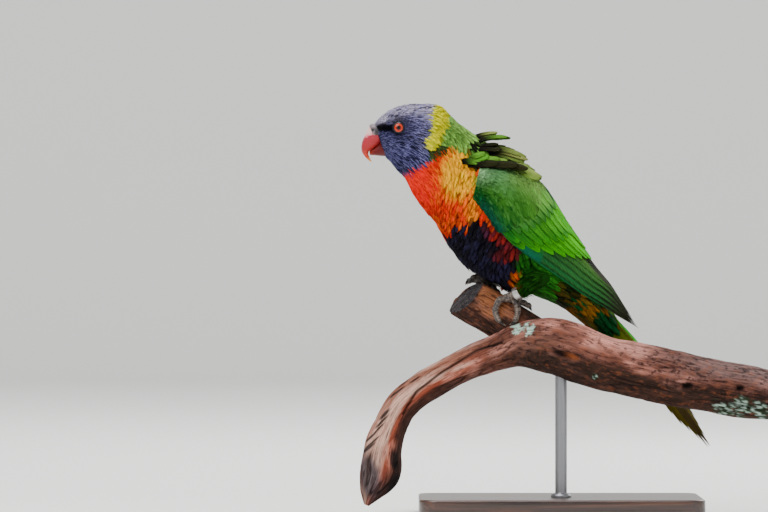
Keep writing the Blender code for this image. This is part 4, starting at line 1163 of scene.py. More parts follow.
def build_vanes(
    name: str,
    rows: Sequence[VaneRow],
    surface: Callable[[Array, Array, Array], Array],
    size: tuple[float, Callable[[Array], Array]],
    bake: Spot,
    mirror: bool,
) -> Piece:
    """Builds large feathers that lie on a curved surface.

    A feather's shaft runs from root to tip as a parabola of the row's bow. Its edges stand
    off square to the shaft, measured in millimetres on the surface, by a width that narrows
    to the tip as a power of what is left. Its upper face falls by the slope from the low
    edge to the high one, so that each tucks under the next, and a ridge follows the shaft.
    The edge waves slightly, where barbs part.

    Args:
        name: The piece's name.
        rows: The rows of feathers.
        surface: Gives a point from places along and across, and a height.
        size: The surface's length, and its width at places along it, in millimetres.
        bake: Corner of the OFBake map that the surface's unwrap starts from.
        mirror: Whether it is built on the right side.

    Returns:
        The object.
    """
    columns, stops = 11, 26
    share = np.linspace(0, 1, stops) ** 0.8
    cross = np.linspace(0, 1, columns)
    ring_cross = np.concatenate([cross, cross[1:-1][::-1]])
    under = np.concatenate([np.zeros(columns), np.ones(columns - 2)])
    edge_point = (ring_cross == 0) | (ring_cross == 1)
    draw = np.random.default_rng(SEED + 5)
    points, colours, vane, patches = [], [], [], []
    for row in rows:
        roots, tips = along_line(row.roots, row.count), along_line(row.tips, row.count)
        for number, (root, tip) in enumerate(zip(roots, tips)):
            part = number / max(row.count - 1, 1)
            middle = (root + tip) / 2
            scale = np.array([size[0], float(size[1](middle[0]))])
            ahead = unit((tip - root) * scale)
            square = np.array([-ahead[1], ahead[0]])
            left = np.clip((1 - share) / 0.42, 0, 1)
            full = left**row.blunt * np.interp(share, (0, 0.15), (0.6, 1.0))
            wave = 1 + 0.025 * np.sin(share * 47 + draw.uniform(0, 6)) * (share > 0.3)
            width = (row.width[0] + (row.width[1] - row.width[0]) * part) * full * wave
            bowed = row.bow * (4 * share * (1 - share))[:, None]
            off_shaft = width[:, None] * (ring_cross - row.shaft) + bowed
            swept = 0.09 * width[:, None] * np.abs(ring_cross - row.shaft)
            place = root + (tip - root) * share[:, None, None] + (
                off_shaft[..., None] * square - swept[..., None] * ahead
            ) / scale
            along, across = place[..., 0], place[..., 1]
            inside = np.clip(across, 0.0, 1.0)
            lift = row.height + draw.uniform(-0.1, 0.1)
            top = lift * np.clip(0.62 + 1.6 * inside * (1 - inside), 0, 1)
            top = top * np.interp(share, (0, 0.3), (0.75, 1.0))[:, None]
            top = top - row.slope * ring_cross * width[:, None]
            top = top + 0.2 * np.exp(-(((ring_cross - row.shaft) / 0.05) ** 2)) * (1 - share[:, None])
            thin = row.thickness * (1 - 0.5 * share[:, None])
            offset = np.maximum(top, 0.4) - thin * (under + 0.5 * edge_point)
            points.append(surface(along, across, offset))
            u, v = ring_cross + 0 * across, share[:, None] + 0 * across
            # The inner web takes the row's inner colour: partly the feathers' own darker inner webs, partly
            # painted shade along the gaps between feathers.
            web = eased(row.web - 0.06, row.web + 0.06, u)
            outer = mixed(row.outer[0], row.outer[1], np.array(part))
            tone = mixed(mixed(outer, row.inner, web), row.end, eased(row.fade, row.fade + 0.3, v))
            rim = row.rim * (eased(0.09, 0.02, u) + 0.6 * eased(0.94, 1.0, v))
            tone = mixed(tone, row.edge, np.clip(rim, 0, 0.9))
            # Painted shade: darker towards the root, where the feather lies covered, times a random tone for
            # each feather.
            shade = (1 + draw.normal(0, 0.1)) * (0.55 + 0.45 * eased(0.05, 0.5, v))
            colours.append(np.clip(tone * shade[..., None], 0, 1))
            vane.append(np.stack([np.clip(0.5 + (u - row.shaft) * 0.7, 0, 1), v * 3.0], axis=-1))
            corner = np.array(bake) + np.array([0.4, 0.3]) * np.clip(middle, 0, 1)
            patches.append(corner + PATCH * (np.stack([u, v], axis=-1) - 0.5))
    points = np.array(points)
    if mirror:
        points = points * MIRRORED
    flat = points.reshape(-1, 3)
    obj = add_mesh(name, flat, outward_faces(flat, tube_faces(stops, len(ring_cross), len(points))))
    set_colour(obj, "plumage", np.array(colours).reshape(-1, 3), 0.0)
    set_uv(obj, "vane", np.array(vane).reshape(-1, 2))
    set_uv(obj, "OFBake", np.clip(np.array(patches), 0, 1).reshape(-1, 2))
    return obj


@dataclass
class Wing:
    """A folded wing: arm, shoulder feathers, coverts, secondaries, tertials and primaries."""

    bed: WingForm
    mirror: bool

    def layout(self) -> list[VaneRow]:
        """The rows of large feathers from the lowest layer up, with their ends as x and z."""
        placed = self.bed.placed
        primaries = VaneRow(
            placed(((-35.4, 189.0), (-24.5, 191.1), (-13.6, 193.8), (-2.7, 196.5))),
            placed((
                (52.7, 126.4), (46.9, 135.7), (40.1, 142.1), (35.7, 150.3), (29.2, 157.1), (19.7, 170.7),
            )),
            9, (9.0, 11.0), 1.9, ("#16582C", "#3A5C1E"), "#0A0A07", "#2C2C20", "#4E7636",
            web=0.32, blunt=0.5, shaft=0.28, rim=0.25, fade=0.6,
        )
        secondaries = VaneRow(
            placed(((-43.5, 205.4), (-27.2, 215.6), (-19.0, 219.0), (-11.6, 216.2), (-5.4, 209.4))),
            placed((
                (-24.7, 180.6), (-17.0, 178.5), (-7.5, 176.5), (1.4, 174.1), (10.2, 172.2), (19.7, 172.4),
            )),
            8, (10.0, 12.0), 2.8, ("#14560F", "#3E9E06"), "#0B2405", "#2F8A08", "#4CAA14",
            web=0.52, bow=-1.5, rim=0.5,
        )
        tertials = VaneRow(
            placed(((-8.2, 211.5), (-13.6, 219.0), (-20.4, 225.8))),
            placed(((16.9, 180.1), (10.2, 191.1), (2.7, 201.3))),
            4, (9.0, 9.5), 3.4, ("#2F9204", "#3F9412"), "#0A0D06", "#3E9E06", "#74D028", web=0.46, rim=0.7,
        )
        greater = VaneRow(
            placed(((-44.2, 206.7), (-36.0, 213.5), (-27.2, 219.6), (-18.4, 223.0), (-12.2, 220.3))),
            placed(((-27.9, 184.3), (-18.4, 181.6), (-8.8, 182.2), (0.0, 184.3), (4.8, 189.0))),
            8, (8.8, 10.0), 3.5, ("#145212", "#469A1E"), "#0E2C08", "#257810", "#3C8E24",
            web=0.6, bow=-1.2, rim=0.4,
        )
        middle = VaneRow(
            placed(((-46.9, 210.8), (-39.4, 216.9), (-32.0, 222.4), (-23.8, 226.4), (-18.4, 224.4))),
            placed(((-35.4, 193.1), (-26.5, 190.4), (-17.7, 193.1), (-9.5, 198.6), (-5.4, 206.0))),
            9, (7.6, 8.4), 4.1, ("#195420", "#5C9838"), "#163C16", "#2C6C24", "#437F38", web=0.66, rim=0.35,
        )
        return [primaries, secondaries, tertials, greater, middle]

    def arm(self) -> Piece:
        """The feathered arm under the coverts, as a closed plate that thins to its end."""
        rows, columns = 40, 22
        along = np.linspace(0.0, 0.52, rows)[:, None]
        across = np.linspace(0.0, 1.0, columns)
        ring = np.concatenate([across, across[1:-1][::-1]])
        under = np.concatenate([np.zeros(columns), np.ones(columns - 2)])
        thick = np.interp(along, (0.0, 0.06, 0.16, 0.38, 0.52), (1.5, 2.7, 3.0, 2.0, 0.8))
        thick = thick * self.crowned(ring, along)
        edge = (ring == 0) | (ring == 1)
        height = np.where(under > 0, 0.15, np.where(edge, 0.6 * thick, thick))
        points = self.bed.point(along, ring + 0 * along, height)
        if self.mirror:
            points = points * MIRRORED
        obj = add_tube(f"wing_arm_{self.side}", points)
        tone = self.tones(along + 0 * ring, ring + 0 * along, layered_noise(points / 8.0, 2, 91), 0.0)
        set_colour(obj, "plumage", tone.reshape(-1, 3))
        return obj

    def crowned(self, across: Array, along: Array) -> Array:
        """Share of the shoulder's thickness: a parabola across, which falls away at its top edge."""
        fall = 1 - 0.75 * eased(0.78, 1.0, across) * eased(0.26, 0.16, along)
        return np.clip(0.62 + 1.6 * across * (1 - across), 0, 1) * fall

    def tones(self, along: Array, across: Array, patchy: Array, tint: Array | float) -> Array:
        """Colours of the shoulder: pale at its bend, teal along its lower edge, yellower along its top."""
        tone = mixed("#135A1E", "#3F7F22", eased(0.05, 0.6, across + 0.05 * tint + 0.12 * patchy))
        pale = eased(0.3, 0.75, across) * eased(0.24, 0.03, along)
        tone = mixed(tone, "#6AA266", np.clip(0.9 * pale + 0.08 * tint, 0, 1))
        tone = mixed(tone, "#78A24C", 0.8 * eased(0.55, 0.9, across) * eased(0.08, 0.16, along))
        teal = eased(0.26, 0.04, across) * eased(0.0, 0.08, along)
        tone = mixed(tone, "#0B5442", 0.8 * teal)
        rim = eased(0.07, 0.0, along) * eased(0.3, 0.7, across)
        tone = mixed(tone, "#8CB882", 0.6 * rim)
        return np.clip(tone * (1 + 0.08 * tint + 0.12 * patchy)[..., None], 0, 1)

    @property
    def side(self) -> str:
        """The side's name."""
        return "right" if self.mirror else "left"

    def shoulder(self) -> Piece:
        """Small scale-like coverts over the shoulder and along the leading edge."""
        draw = np.random.default_rng(SEED + 9)
        length, width = 4.6, 3.1
        along, across = [], []
        for number, station in enumerate(np.arange(0.002, 0.30, 0.0115)):
            start = float(np.clip((station - 0.17) / 0.22, 0, 1))
            count = int(self.bed.depth(np.array(max(station, 0.0))) / 1.8)
            values = (np.arange(count) + 0.5 * (number % 2)) / count
            values = values[values >= start]
            along.append(station + draw.normal(0, 0.003, len(values)))
            across.append(values + draw.normal(0, 0.006, len(values)))
        along, across = np.concatenate(along), np.clip(np.concatenate(across), 0.0, 1.0)
        thick = np.interp(along, (0.0, 0.06, 0.16, 0.34), (2.5, 3.7, 4.5, 4.6))
        height = thick * self.crowned(across, along)
        root = self.bed.point(along, across, height - 0.7)
        drift = 0.004 + 0.05 * eased(0.05, 0.3, along)
        ahead = self.bed.point(along + 0.02, across - drift, height)
        heading = unit(ahead - self.bed.point(along, across, height))
        outward = self.bed.normal(along, across)
        count = len(along)
        tint = draw.normal(0, 1, count)
        patchy = layered_noise(root / 8.0, 2, 91)
        tone = self.tones(along, across, patchy, tint)
        feathers = Feathers(
            root=root,
            along=heading,
            outward=outward,
            length=length * draw.uniform(0.85, 1.25, count) * np.interp(along, (0, 0.3), (0.8, 1.7)),
            width=width * draw.uniform(0.9, 1.1, count) * np.interp(along, (0, 0.3), (1.0, 1.5)),
            lift=draw.uniform(0.07, 0.13, count) * np.interp(along, (0.0, 0.05), (0.3, 1.0)),
            curl=draw.uniform(0.16, 0.28, count),
            # The darker base is painted shade over the covered root.
            base=tone * 0.85,
            tip=tone,
            streak=np.zeros(count),
            place=np.stack([0.55 + 0.4 * np.clip(along, 0, 1), 0.02 + 0.3 * across], axis=-1),
        )
        if self.mirror:
            for values in (feathers.root, feathers.along, feathers.outward):
                values *= MIRRORED
        return build_feathers(f"coat_shoulder_{self.side}", feathers, VaneShape(camber=0.1))

    def build(self, finishes: Finishes) -> None:
        """Builds the arm and its feathers."""
        node = f"wing_{self.side}"
        place_piece(self.arm(), Slot.WING, SkinFinish(f"arm_skin_{self.side}").material(), node)
        bake = (0.02, 0.35) if self.mirror else (0.02, 0.02)
        size = (self.bed.length(), self.bed.depth)
        vanes = build_vanes(
            f"flight_feathers_{self.side}", self.layout(), self.bed.point, size, bake, self.mirror
        )
        place_piece(vanes, Slot.WING, finishes[Slot.WING])
        place_piece(self.shoulder(), Slot.WING, finishes[Slot.WING])


@dataclass
class Tail:
    """The folded, graduated tail."""

    crest: Line = ((36.0, 134.4), (54.5, 113.4), (79.0, 75.5), (101.5, 44.7))
    arch: Line = ((8.6, 13.5), (9.2, 13.0), (11.0, 5.0), (8.5, 2.5))
    fan: float = 86.0
    twist: float = 45.0
    twist_places: Spot = (0.3, 0.75)
    tips: tuple[float, ...] = (0.99, 0.92, 0.85, 0.79, 0.71, 0.62)
    side: float = -1.0

    def point(self, along: Array, across: Array, offset: Array | float) -> Array:
        """A point of one half of the tail.

        Across runs from the half's lower edge to the crest. The section is a half oval that
        turns about the crest line, more and more towards the tip.

        Args:
            along: From 0 at the root to 1 at the tip.
            across: From 0 at the lower edge to 1 at the crest.
            offset: How far the point stands off.

        Returns:
            The points.
        """
        along, across = np.broadcast_arrays(np.asarray(along, float), np.asarray(across, float))
        rows = along * (len(self.crest) - 1)
        line = curve_through(self.crest, rows)
        ahead = unit(curve_through(self.crest, rows + 0.05) - curve_through(self.crest, rows - 0.05))
        back = np.stack([-ahead[..., 1], ahead[..., 0]], axis=-1)
        arch = curve_through(self.arch, rows)
        angle = self.side * (1 - across) * math.radians(self.fan)
        sideways = (arch[..., 0] + offset) * np.sin(angle)
        rise = (arch[..., 1] + offset) * np.cos(angle) - arch[..., 1]
        twist = math.radians(self.twist) * np.interp(along, self.twist_places, (0.0, 1.0))
        flat = line + back * (rise * np.cos(twist) + sideways * np.sin(twist))[..., None]
        off_middle = sideways * np.cos(twist) - rise * np.sin(twist)
        return np.stack([flat[..., 0], off_middle, flat[..., 1]], axis=-1)

    def depth(self, along: Array) -> Array:
        """How far the arch reaches round on one side, in millimetres."""
        arch = curve_through(self.arch, np.asarray(along, float) * (len(self.arch) - 1))
        return arch.sum(axis=-1) * math.radians(self.fan) / 2

    def layout(self) -> list[VaneRow]:
        """Six feathers on one side, the lowest and shortest first."""
        rows = []
        for pair in reversed(range(6)):
            middle = 0.93 - 0.13 * pair
            outer, inner, end = ("#4E5A0C", "#3A4A10", "#4A3E0C")
            if pair == 0:
                outer, inner, end = ("#2EA822", "#1B6A1C", "#33280A")
            height = 1.1 - 0.11 * pair + (0.3 if self.side > 0 else 0.0)
            root, tip = (0.0, middle), (self.tips[pair], middle)
            rows.append(
                VaneRow(
                    (root, root), (tip, tip), 1, (7.0, 7.0), height, (outer, outer), inner, end, "#8E8A14",
                    slope=0.04, web=0.5, shaft=0.5, blunt=0.7, rim=0.35, fade=0.3,
                )
            )
        return rows

    def build(self, finishes: Finishes) -> None:
        """Builds this side of the tail."""
        name, bake = ("left", (0.04, 0.67)) if self.side < 0 else ("right", (0.37, 0.67))
        size = (float(np.linalg.norm(np.diff(np.array(self.crest), axis=0), axis=1).sum()), self.depth)
        vanes = build_vanes(f"tail_feathers_{name}", self.layout(), self.point, size, bake, False)
        place_piece(vanes, Slot.TAIL, finishes[Slot.TAIL], *(("tail",) if self.side < 0 else ()))


@dataclass
class Ruff:
    """The wind-lifted feathers of the nape and mantle."""

    form: BodyForm
    # Root x and z, tip x and z, distance from the mid plane at root and tip, width, bow, how green
    # and how light, where the near-black ones are painted shadow among the lifted feathers.
    plan: Table = (
        (-55.8, 255.7, -42.5, 260.4, 3.0, 4.0, 4.4, 1.2, 0.2, 0.9),
        (-54.4, 253.6, -40.0, 258.2, 5.0, 6.0, 4.2, 1.6, 0.5, 0.7),
        (-53.4, 252.6, -35.6, 258.4, 7.0, 9.0, 5.2, 2.4, 0.8, 0.7),
        (-51.7, 248.2, -38.1, 250.9, 8.0, 9.0, 4.6, 1.2, 0.3, 0.2),
        (-51.7, 246.8, -30.6, 248.9, 8.0, 10.0, 4.6, 2.0, 0.4, 0.35),
        (-49.6, 246.2, -21.8, 244.8, 9.0, 12.0, 5.2, 3.4, 0.25, 0.62),
        (-49.6, 245.5, -21.1, 242.4, 10.0, 13.0, 5.6, 2.8, 0.2, 0.72),
        (-49.0, 244.1, -23.8, 240.4, 11.0, 14.0, 5.6, 2.2, 0.35, 0.6),
        (-48.3, 244.8, -28.6, 245.8, 6.0, 8.0, 4.4, 2.4, 0.35, 0.5),
        (-62.9, 239.7, -51.0, 246.2, 16.0, 19.0, 5.0, 1.8, 1.0, 0.95),
        (-62.6, 238.7, -48.3, 244.1, 15.5, 19.5, 5.4, 2.0, 0.95, 1.0),
        (-61.2, 237.3, -40.8, 242.4, 16.0, 19.0, 5.8, 2.2, 0.95, 0.8),
        (-59.8, 236.6, -35.4, 241.1, 15.0, 18.5, 6.2, 2.4, 0.8, 0.85),
        (-60.5, 236.6, -42.2, 238.8, 19.0, 23.0, 5.0, 1.0, 0.0, 0.05),
        (-56.0, 236.8, -28.6, 237.6, 19.0, 23.5, 5.4, 1.2, 0.0, 0.06),
        (-48.0, 237.8, -22.0, 235.2, 17.0, 21.0, 5.0, 1.4, 0.0, 0.08),
        (-55.0, 247.4, -40.0, 248.0, 12.0, 15.0, 4.4, 1.0, 0.0, 0.05),
        (-54.0, 249.6, -42.0, 252.2, 10.0, 12.0, 4.0, 1.0, 0.0, 0.05),
        (-51.0, 238.7, -11.6, 230.5, 12.0, 15.0, 6.0, 3.0, 0.35, 1.0),
        (-46.2, 238.7, -13.6, 228.5, 13.0, 17.0, 6.4, 2.4, 0.45, 0.9),
        (-42.2, 237.3, -17.0, 227.1, 14.5, 18.5, 6.2, 2.0, 0.7, 0.7),
        (-40.8, 235.3, -24.5, 228.5, 15.5, 19.5, 6.0, 1.6, 0.95, 0.75),
        (-35.4, 233.9, -17.0, 223.0, 14.0, 18.0, 6.0, 1.6, 0.9, 0.7),
        (-31.3, 232.6, -12.9, 220.3, 13.0, 16.5, 6.0, 1.5, 0.85, 0.6),
        (-49.0, 241.5, -20.4, 237.0, 4.0, 5.0, 6.4, 2.8, 0.4, 0.8),
        (-40.8, 239.5, -12.9, 228.5, 5.5, 7.0, 6.4, 2.2, 0.7, 0.8),
        (-64.6, 238.7, -52.4, 239.5, 18.0, 21.0, 4.8, 1.2, 0.9, 0.9),
        (-44.2, 242.1, -16.3, 234.5, 2.0, 3.0, 6.4, 2.4, 0.5, 0.8),
    )

    def build(self, finishes: Finishes) -> None:
        """Lays each planned feather on both sides, with a thinner one by it."""
        draw = np.random.default_rng(SEED + 21)
        buried = 5.0
        plan = np.repeat(np.array(self.plan), 2, axis=0)
        count = len(plan)
        second = (np.arange(count) % 2).astype(float)
        jitter = draw.normal(0, 0.9, (count, 4)) * second[:, None]
        plan = np.concatenate([plan, plan])
        jitter = np.concatenate([jitter, draw.normal(0, 0.9, (count, 4))])
        second = np.tile(second, 2)
        sign = np.repeat([-1.0, 1.0], count)
        total = 2 * count
        root = np.stack([plan[:, 0] + jitter[:, 0], sign * plan[:, 4], plan[:, 1] + jitter[:, 1]], axis=-1)
        tip_x, tip_z = plan[:, 2] + 1.5 * jitter[:, 2], plan[:, 3] + jitter[:, 3]
        tip = np.stack([tip_x, sign * plan[:, 5], tip_z], axis=-1)
        tip = tip - (tip - root) * (0.16 * second)[:, None]
        chord = tip - root
        length = np.linalg.norm(chord, axis=1)
        along = unit(chord)
        side = np.array([0.0, 1.0, 0.0]) * sign[:, None] * np.clip(plan[:, 4:5] / 22, 0, 0.8)
        outward = np.array([0.25, 0.0, 1.0]) + side * 1.6
        outward = unit(outward - along * (outward * along).sum(1, keepdims=True))
        bow = 4 * plan[:, 7] / length
        tint = np.clip(plan[:, 8] + draw.normal(0, 0.08, total), 0, 1)
        # Painted shade: planned feathers of near-black lightness, and the thinner feather by each at half
        # lightness, stand for shadow among the lifted feathers.
        light = 0.95 * plan[:, 9] * (1 - 0.5 * second) * draw.uniform(0.85, 1.1, total)
        green = mixed("#8C8F4C", "#4C8A20", tint) * light[:, None]
        feathers = Feathers(
            root=root - along * buried,
            along=along,
            outward=outward,
            length=length + buried,
            width=plan[:, 6] * draw.uniform(1.05, 1.3, total) * (1 - 0.25 * second),
            lift=bow,
            curl=2.1 * bow,
            # Painted shade: the near-black base stands for the shade at the roots.
            base=np.tile(linear("#0E0B07"), (total, 1)),
            tip=np.clip(green, 0, 1),
            streak=np.zeros(total),
            place=np.stack([(7 + root[:, 0] / 40) / 15, 0.5 + root[:, 1] / 60], axis=-1),
        )
        shape = VaneShape(
            shares=(0.0, 0.1, 0.22, 0.36, 0.5, 0.64, 0.76, 0.86, 0.94, 0.985, 1.0),
            fullness=(0.3, 0.5, 0.68, 0.84, 0.96, 1.0, 1.0, 0.92, 0.7, 0.42, 0.14),
            section=lens_section(9),
            thickness=0.35,
            camber=0.22,
            tip_start=0.3,
        )
        place_piece(build_feathers("ruff_feathers", feathers, shape), Slot.NAPE, finishes[Slot.NAPE])


@dataclass
class Eyes:
    """The eyes and the bare lids round them."""

    form: BodyForm
    radius: float = 4.6
    lid_plane: float = 12.75
    lid_radius: float = 3.4
    lid_thickness: float = 0.48

    def ball(self, sign: float) -> Array:
        """Rings of a sphere about its Y axis: radius times sine and cosine of the polar angle."""
        polar = np.linspace(0.02, math.pi - 0.02, 40)[:, None]
        turn = turns(64)[None, :]
        x = self.form.eye[0] + self.radius * np.sin(polar) * np.cos(turn)
        z = self.form.eye[2] + self.radius * np.sin(polar) * np.sin(turn)
        y = sign * self.form.eye[1] + self.radius * np.cos(polar) + 0 * turn
        return np.stack([x, y, z], axis=-1)

    def lids(self, sign: float) -> Array:
        """A wrinkled ring round the eye: a circle carried round a wider one, bent back at the corners."""
        turn = turns(72)[:, None]
        around = turns(14)[None, :]
        thick = self.lid_thickness * (1 + 0.10 * np.sin(23 * turn) + 0.06 * np.sin(3 * around + 11 * turn))
        reach = self.lid_radius + thick * np.cos(around)
        x = self.form.eye[0] + reach * np.cos(turn) * 1.04
        z = self.form.eye[2] + reach * np.sin(turn) * 0.94
        y = sign * (self.lid_plane + 0.9 * thick * np.sin(around) - 0.35 * np.cos(turn) ** 2)
        return np.stack([x, y, z], axis=-1)

    def build(self) -> None:
        """Builds both eyes with their lids."""
        glass = EyeFinish((self.form.eye[0], self.form.eye[2])).material()
        skin = PaintedFinish("bare_eyelid_skin", 0.55, 0.5, 0.0001).material()
        for name, sign in (("left", -1.0), ("right", 1.0)):
            place_piece(add_tube(f"eyeball_{name}", self.ball(sign)), Slot.EYE, glass, f"eye_{name}")
            ring = add_tube(f"lids_{name}", self.lids(sign), looped=True)
            set_colour(ring, "tone", linear("#141317"))
            place_piece(ring, Slot.CERE, skin)


@dataclass
class Bill:
    """Upper bill, cere with its nostrils, and lower bill."""

    form: BodyForm
    # Outer x and z, inner x and z, half width, from the root to the tip.
    upper: Table = (
        (-129.0, 264.2, -123.8, 250.8, 6.2),
        (-131.0, 261.2, -125.1, 249.7, 5.8),
        (-132.8, 257.4, -126.5, 248.6, 5.3),
        (-134.4, 253.3, -128.1, 247.5, 4.6),
        (-135.1, 249.2, -129.7, 246.7, 3.7),
        (-134.5, 245.8, -130.4, 245.3, 2.9),
        (-132.6, 242.8, -130.0, 243.6, 1.9),
        (-130.4, 240.6, -129.1, 241.6, 1.1),
        (-128.4, 239.3, -128.1, 239.8, 0.4),
    )
    lower: Table = (
        (-124.3, 251.0, -121.7, 243.3, 4.9),
        (-126.6, 249.0, -125.3, 243.7, 4.1),
        (-128.6, 247.6, -128.0, 243.9, 2.9),
        (-129.7, 246.3, -129.3, 244.2, 1.5),
    )
    cere_end: float = 1.15
    nostril: Triple = (-127.4, 5.5, 260.9)
    nostril_radius: float = 1.1
    roundness: float = 2.3

    def rings(self, stations: Array, start: float, end: float, rows: int, sides: int, grow: float) -> Array:
        """Squared ovals through the stations, from one place to another, grown by a margin."""
        places = np.linspace(start, end, rows)
        values = curve_through(stations, places)[:, None, :]
        cosine, sine = squared_turn(turns(sides), 2 / self.roundness)
        half = (values[..., 0:2] - values[..., 2:4]) / 2
        size = np.linalg.norm(half, axis=-1)
        flat = (values[..., 0:2] + values[..., 2:4]) / 2 + half * ((1 + grow / size) * cosine)[..., None]
        return np.stack([flat[..., 0], (values[..., 4] + grow) * sine, flat[..., 1]], axis=-1)

    def with_root(self, stations: Sequence[Sequence[float]], shares: Spot) -> Array:
        """The stations with one more behind them, inside the head."""
        front = self.form.stations[0]
        dorsal, ventral = np.array(front[0:2]), np.array(front[2:4])
        outer, inner = (dorsal + (ventral - dorsal) * share for share in shares)
        return np.array([(outer[0] + 1.2, outer[1], inner[0] + 1.2, inner[1], front[4] - 0.6), *stations])

    def build(self) -> None:
        """Builds the bill's three pieces."""
        stations = self.with_root(self.upper, (0.0, 0.52))
        last = len(stations) - 1.0
        rings = self.rings(stations, 0.0, last, 66, 48, 0.0)
        upper = add_tube("upper_bill", rings)
        fallen = (rings[..., 2] - 259.2) / (239.3 - 259.2)
        self.grain(upper, rings, fallen + 0.023 * np.minimum(rings[..., 0] + 130.0, 6.0))
        horn = HornFinish(
            "upper_bill_horn",
            (
                (0.02, "#D8AEA8"), (0.08, "#D27A80"), (0.145, "#9C2838"),
                (0.5, "#9E2628"), (0.8, "#BE3A1E"), (0.95, "#DC8A2C"),
            ),
        )
        place_piece(upper, Slot.HORN, horn.material(), "bill_upper")
        rows = 30
        rings = self.rings(self.with_root(self.lower, (0.49, 0.97)), 0.0, 4.0, rows, 40, 0.0)
        lower = add_tube("lower_bill", rings)
        self.grain(lower, rings, np.linspace(0, 1, rows)[:, None] + 0 * rings[..., 0])
        horn = HornFinish("lower_bill_horn", ((0.0, "#460807"), (0.5, "#5C0B0A"), (0.95, "#7C2416")))
        place_piece(lower, Slot.HORN, horn.material(), "bill_lower")
        self.cere(stations)

    def grain(self, obj: Piece, rings: Array, along: Array) -> None:
        """Stores the share from a piece's root to its tip, and the place round it in centimetres."""
        grain = np.stack([along, rings[..., 1] / 10, rings[..., 2] / 10], axis=-1)
        set_vector(obj, "grain", grain.reshape(-1, 3))

    def cere(self, stations: Array) -> None:
        """The cere: a soft swollen band over the bill's root, sunk at each nostril."""
        rows, sides = 44, 96
        rings = self.rings(stations, 0.0, self.cere_end + 0.12, rows, sides, 0.35)
        swell = np.sin(np.linspace(0.15, 1.0, rows) * math.pi)[:, None]
        upper = eased(255.6, 258.4, rings[..., 2])
        centre = rings.mean(axis=1, keepdims=True)
        away = unit(rings - centre)
        gap = np.hypot(rings[..., 0] - self.nostril[0], rings[..., 2] - self.nostril[2])
        pit = np.exp(-((gap / self.nostril_radius) ** 2)) * (np.abs(rings[..., 1]) > 2.5)
        rim = np.exp(-(((gap - 1.7 * self.nostril_radius) / 0.5) ** 2)) * (np.abs(rings[..., 1]) > 2.5)
        rings = rings + away * (0.35 * swell * upper + 0.2 * rim - 0.6 * pit - 1.6 * (1 - upper))[..., None]
        obj = add_tube("cere_band", rings)
        tone = mixed("#6E6066", "#B88482", eased(259.0, 257.0, rings[..., 2]))
        tone = mixed(tone, "#17151C", 0.9 * eased(-126.8, -125.2, rings[..., 0]))
        # Painted shade: the nostril pit is near black, for the shade inside the opening.
        tone = mixed(tone, "#0D0B0C", np.clip(1.3 * pit, 0, 1))
        set_colour(obj, "tone", tone.reshape(-1, 3))
        place_piece(obj, Slot.CERE, PaintedFinish("bare_cere_skin", 0.5, 0.6, 0.0001).material(), "cere")


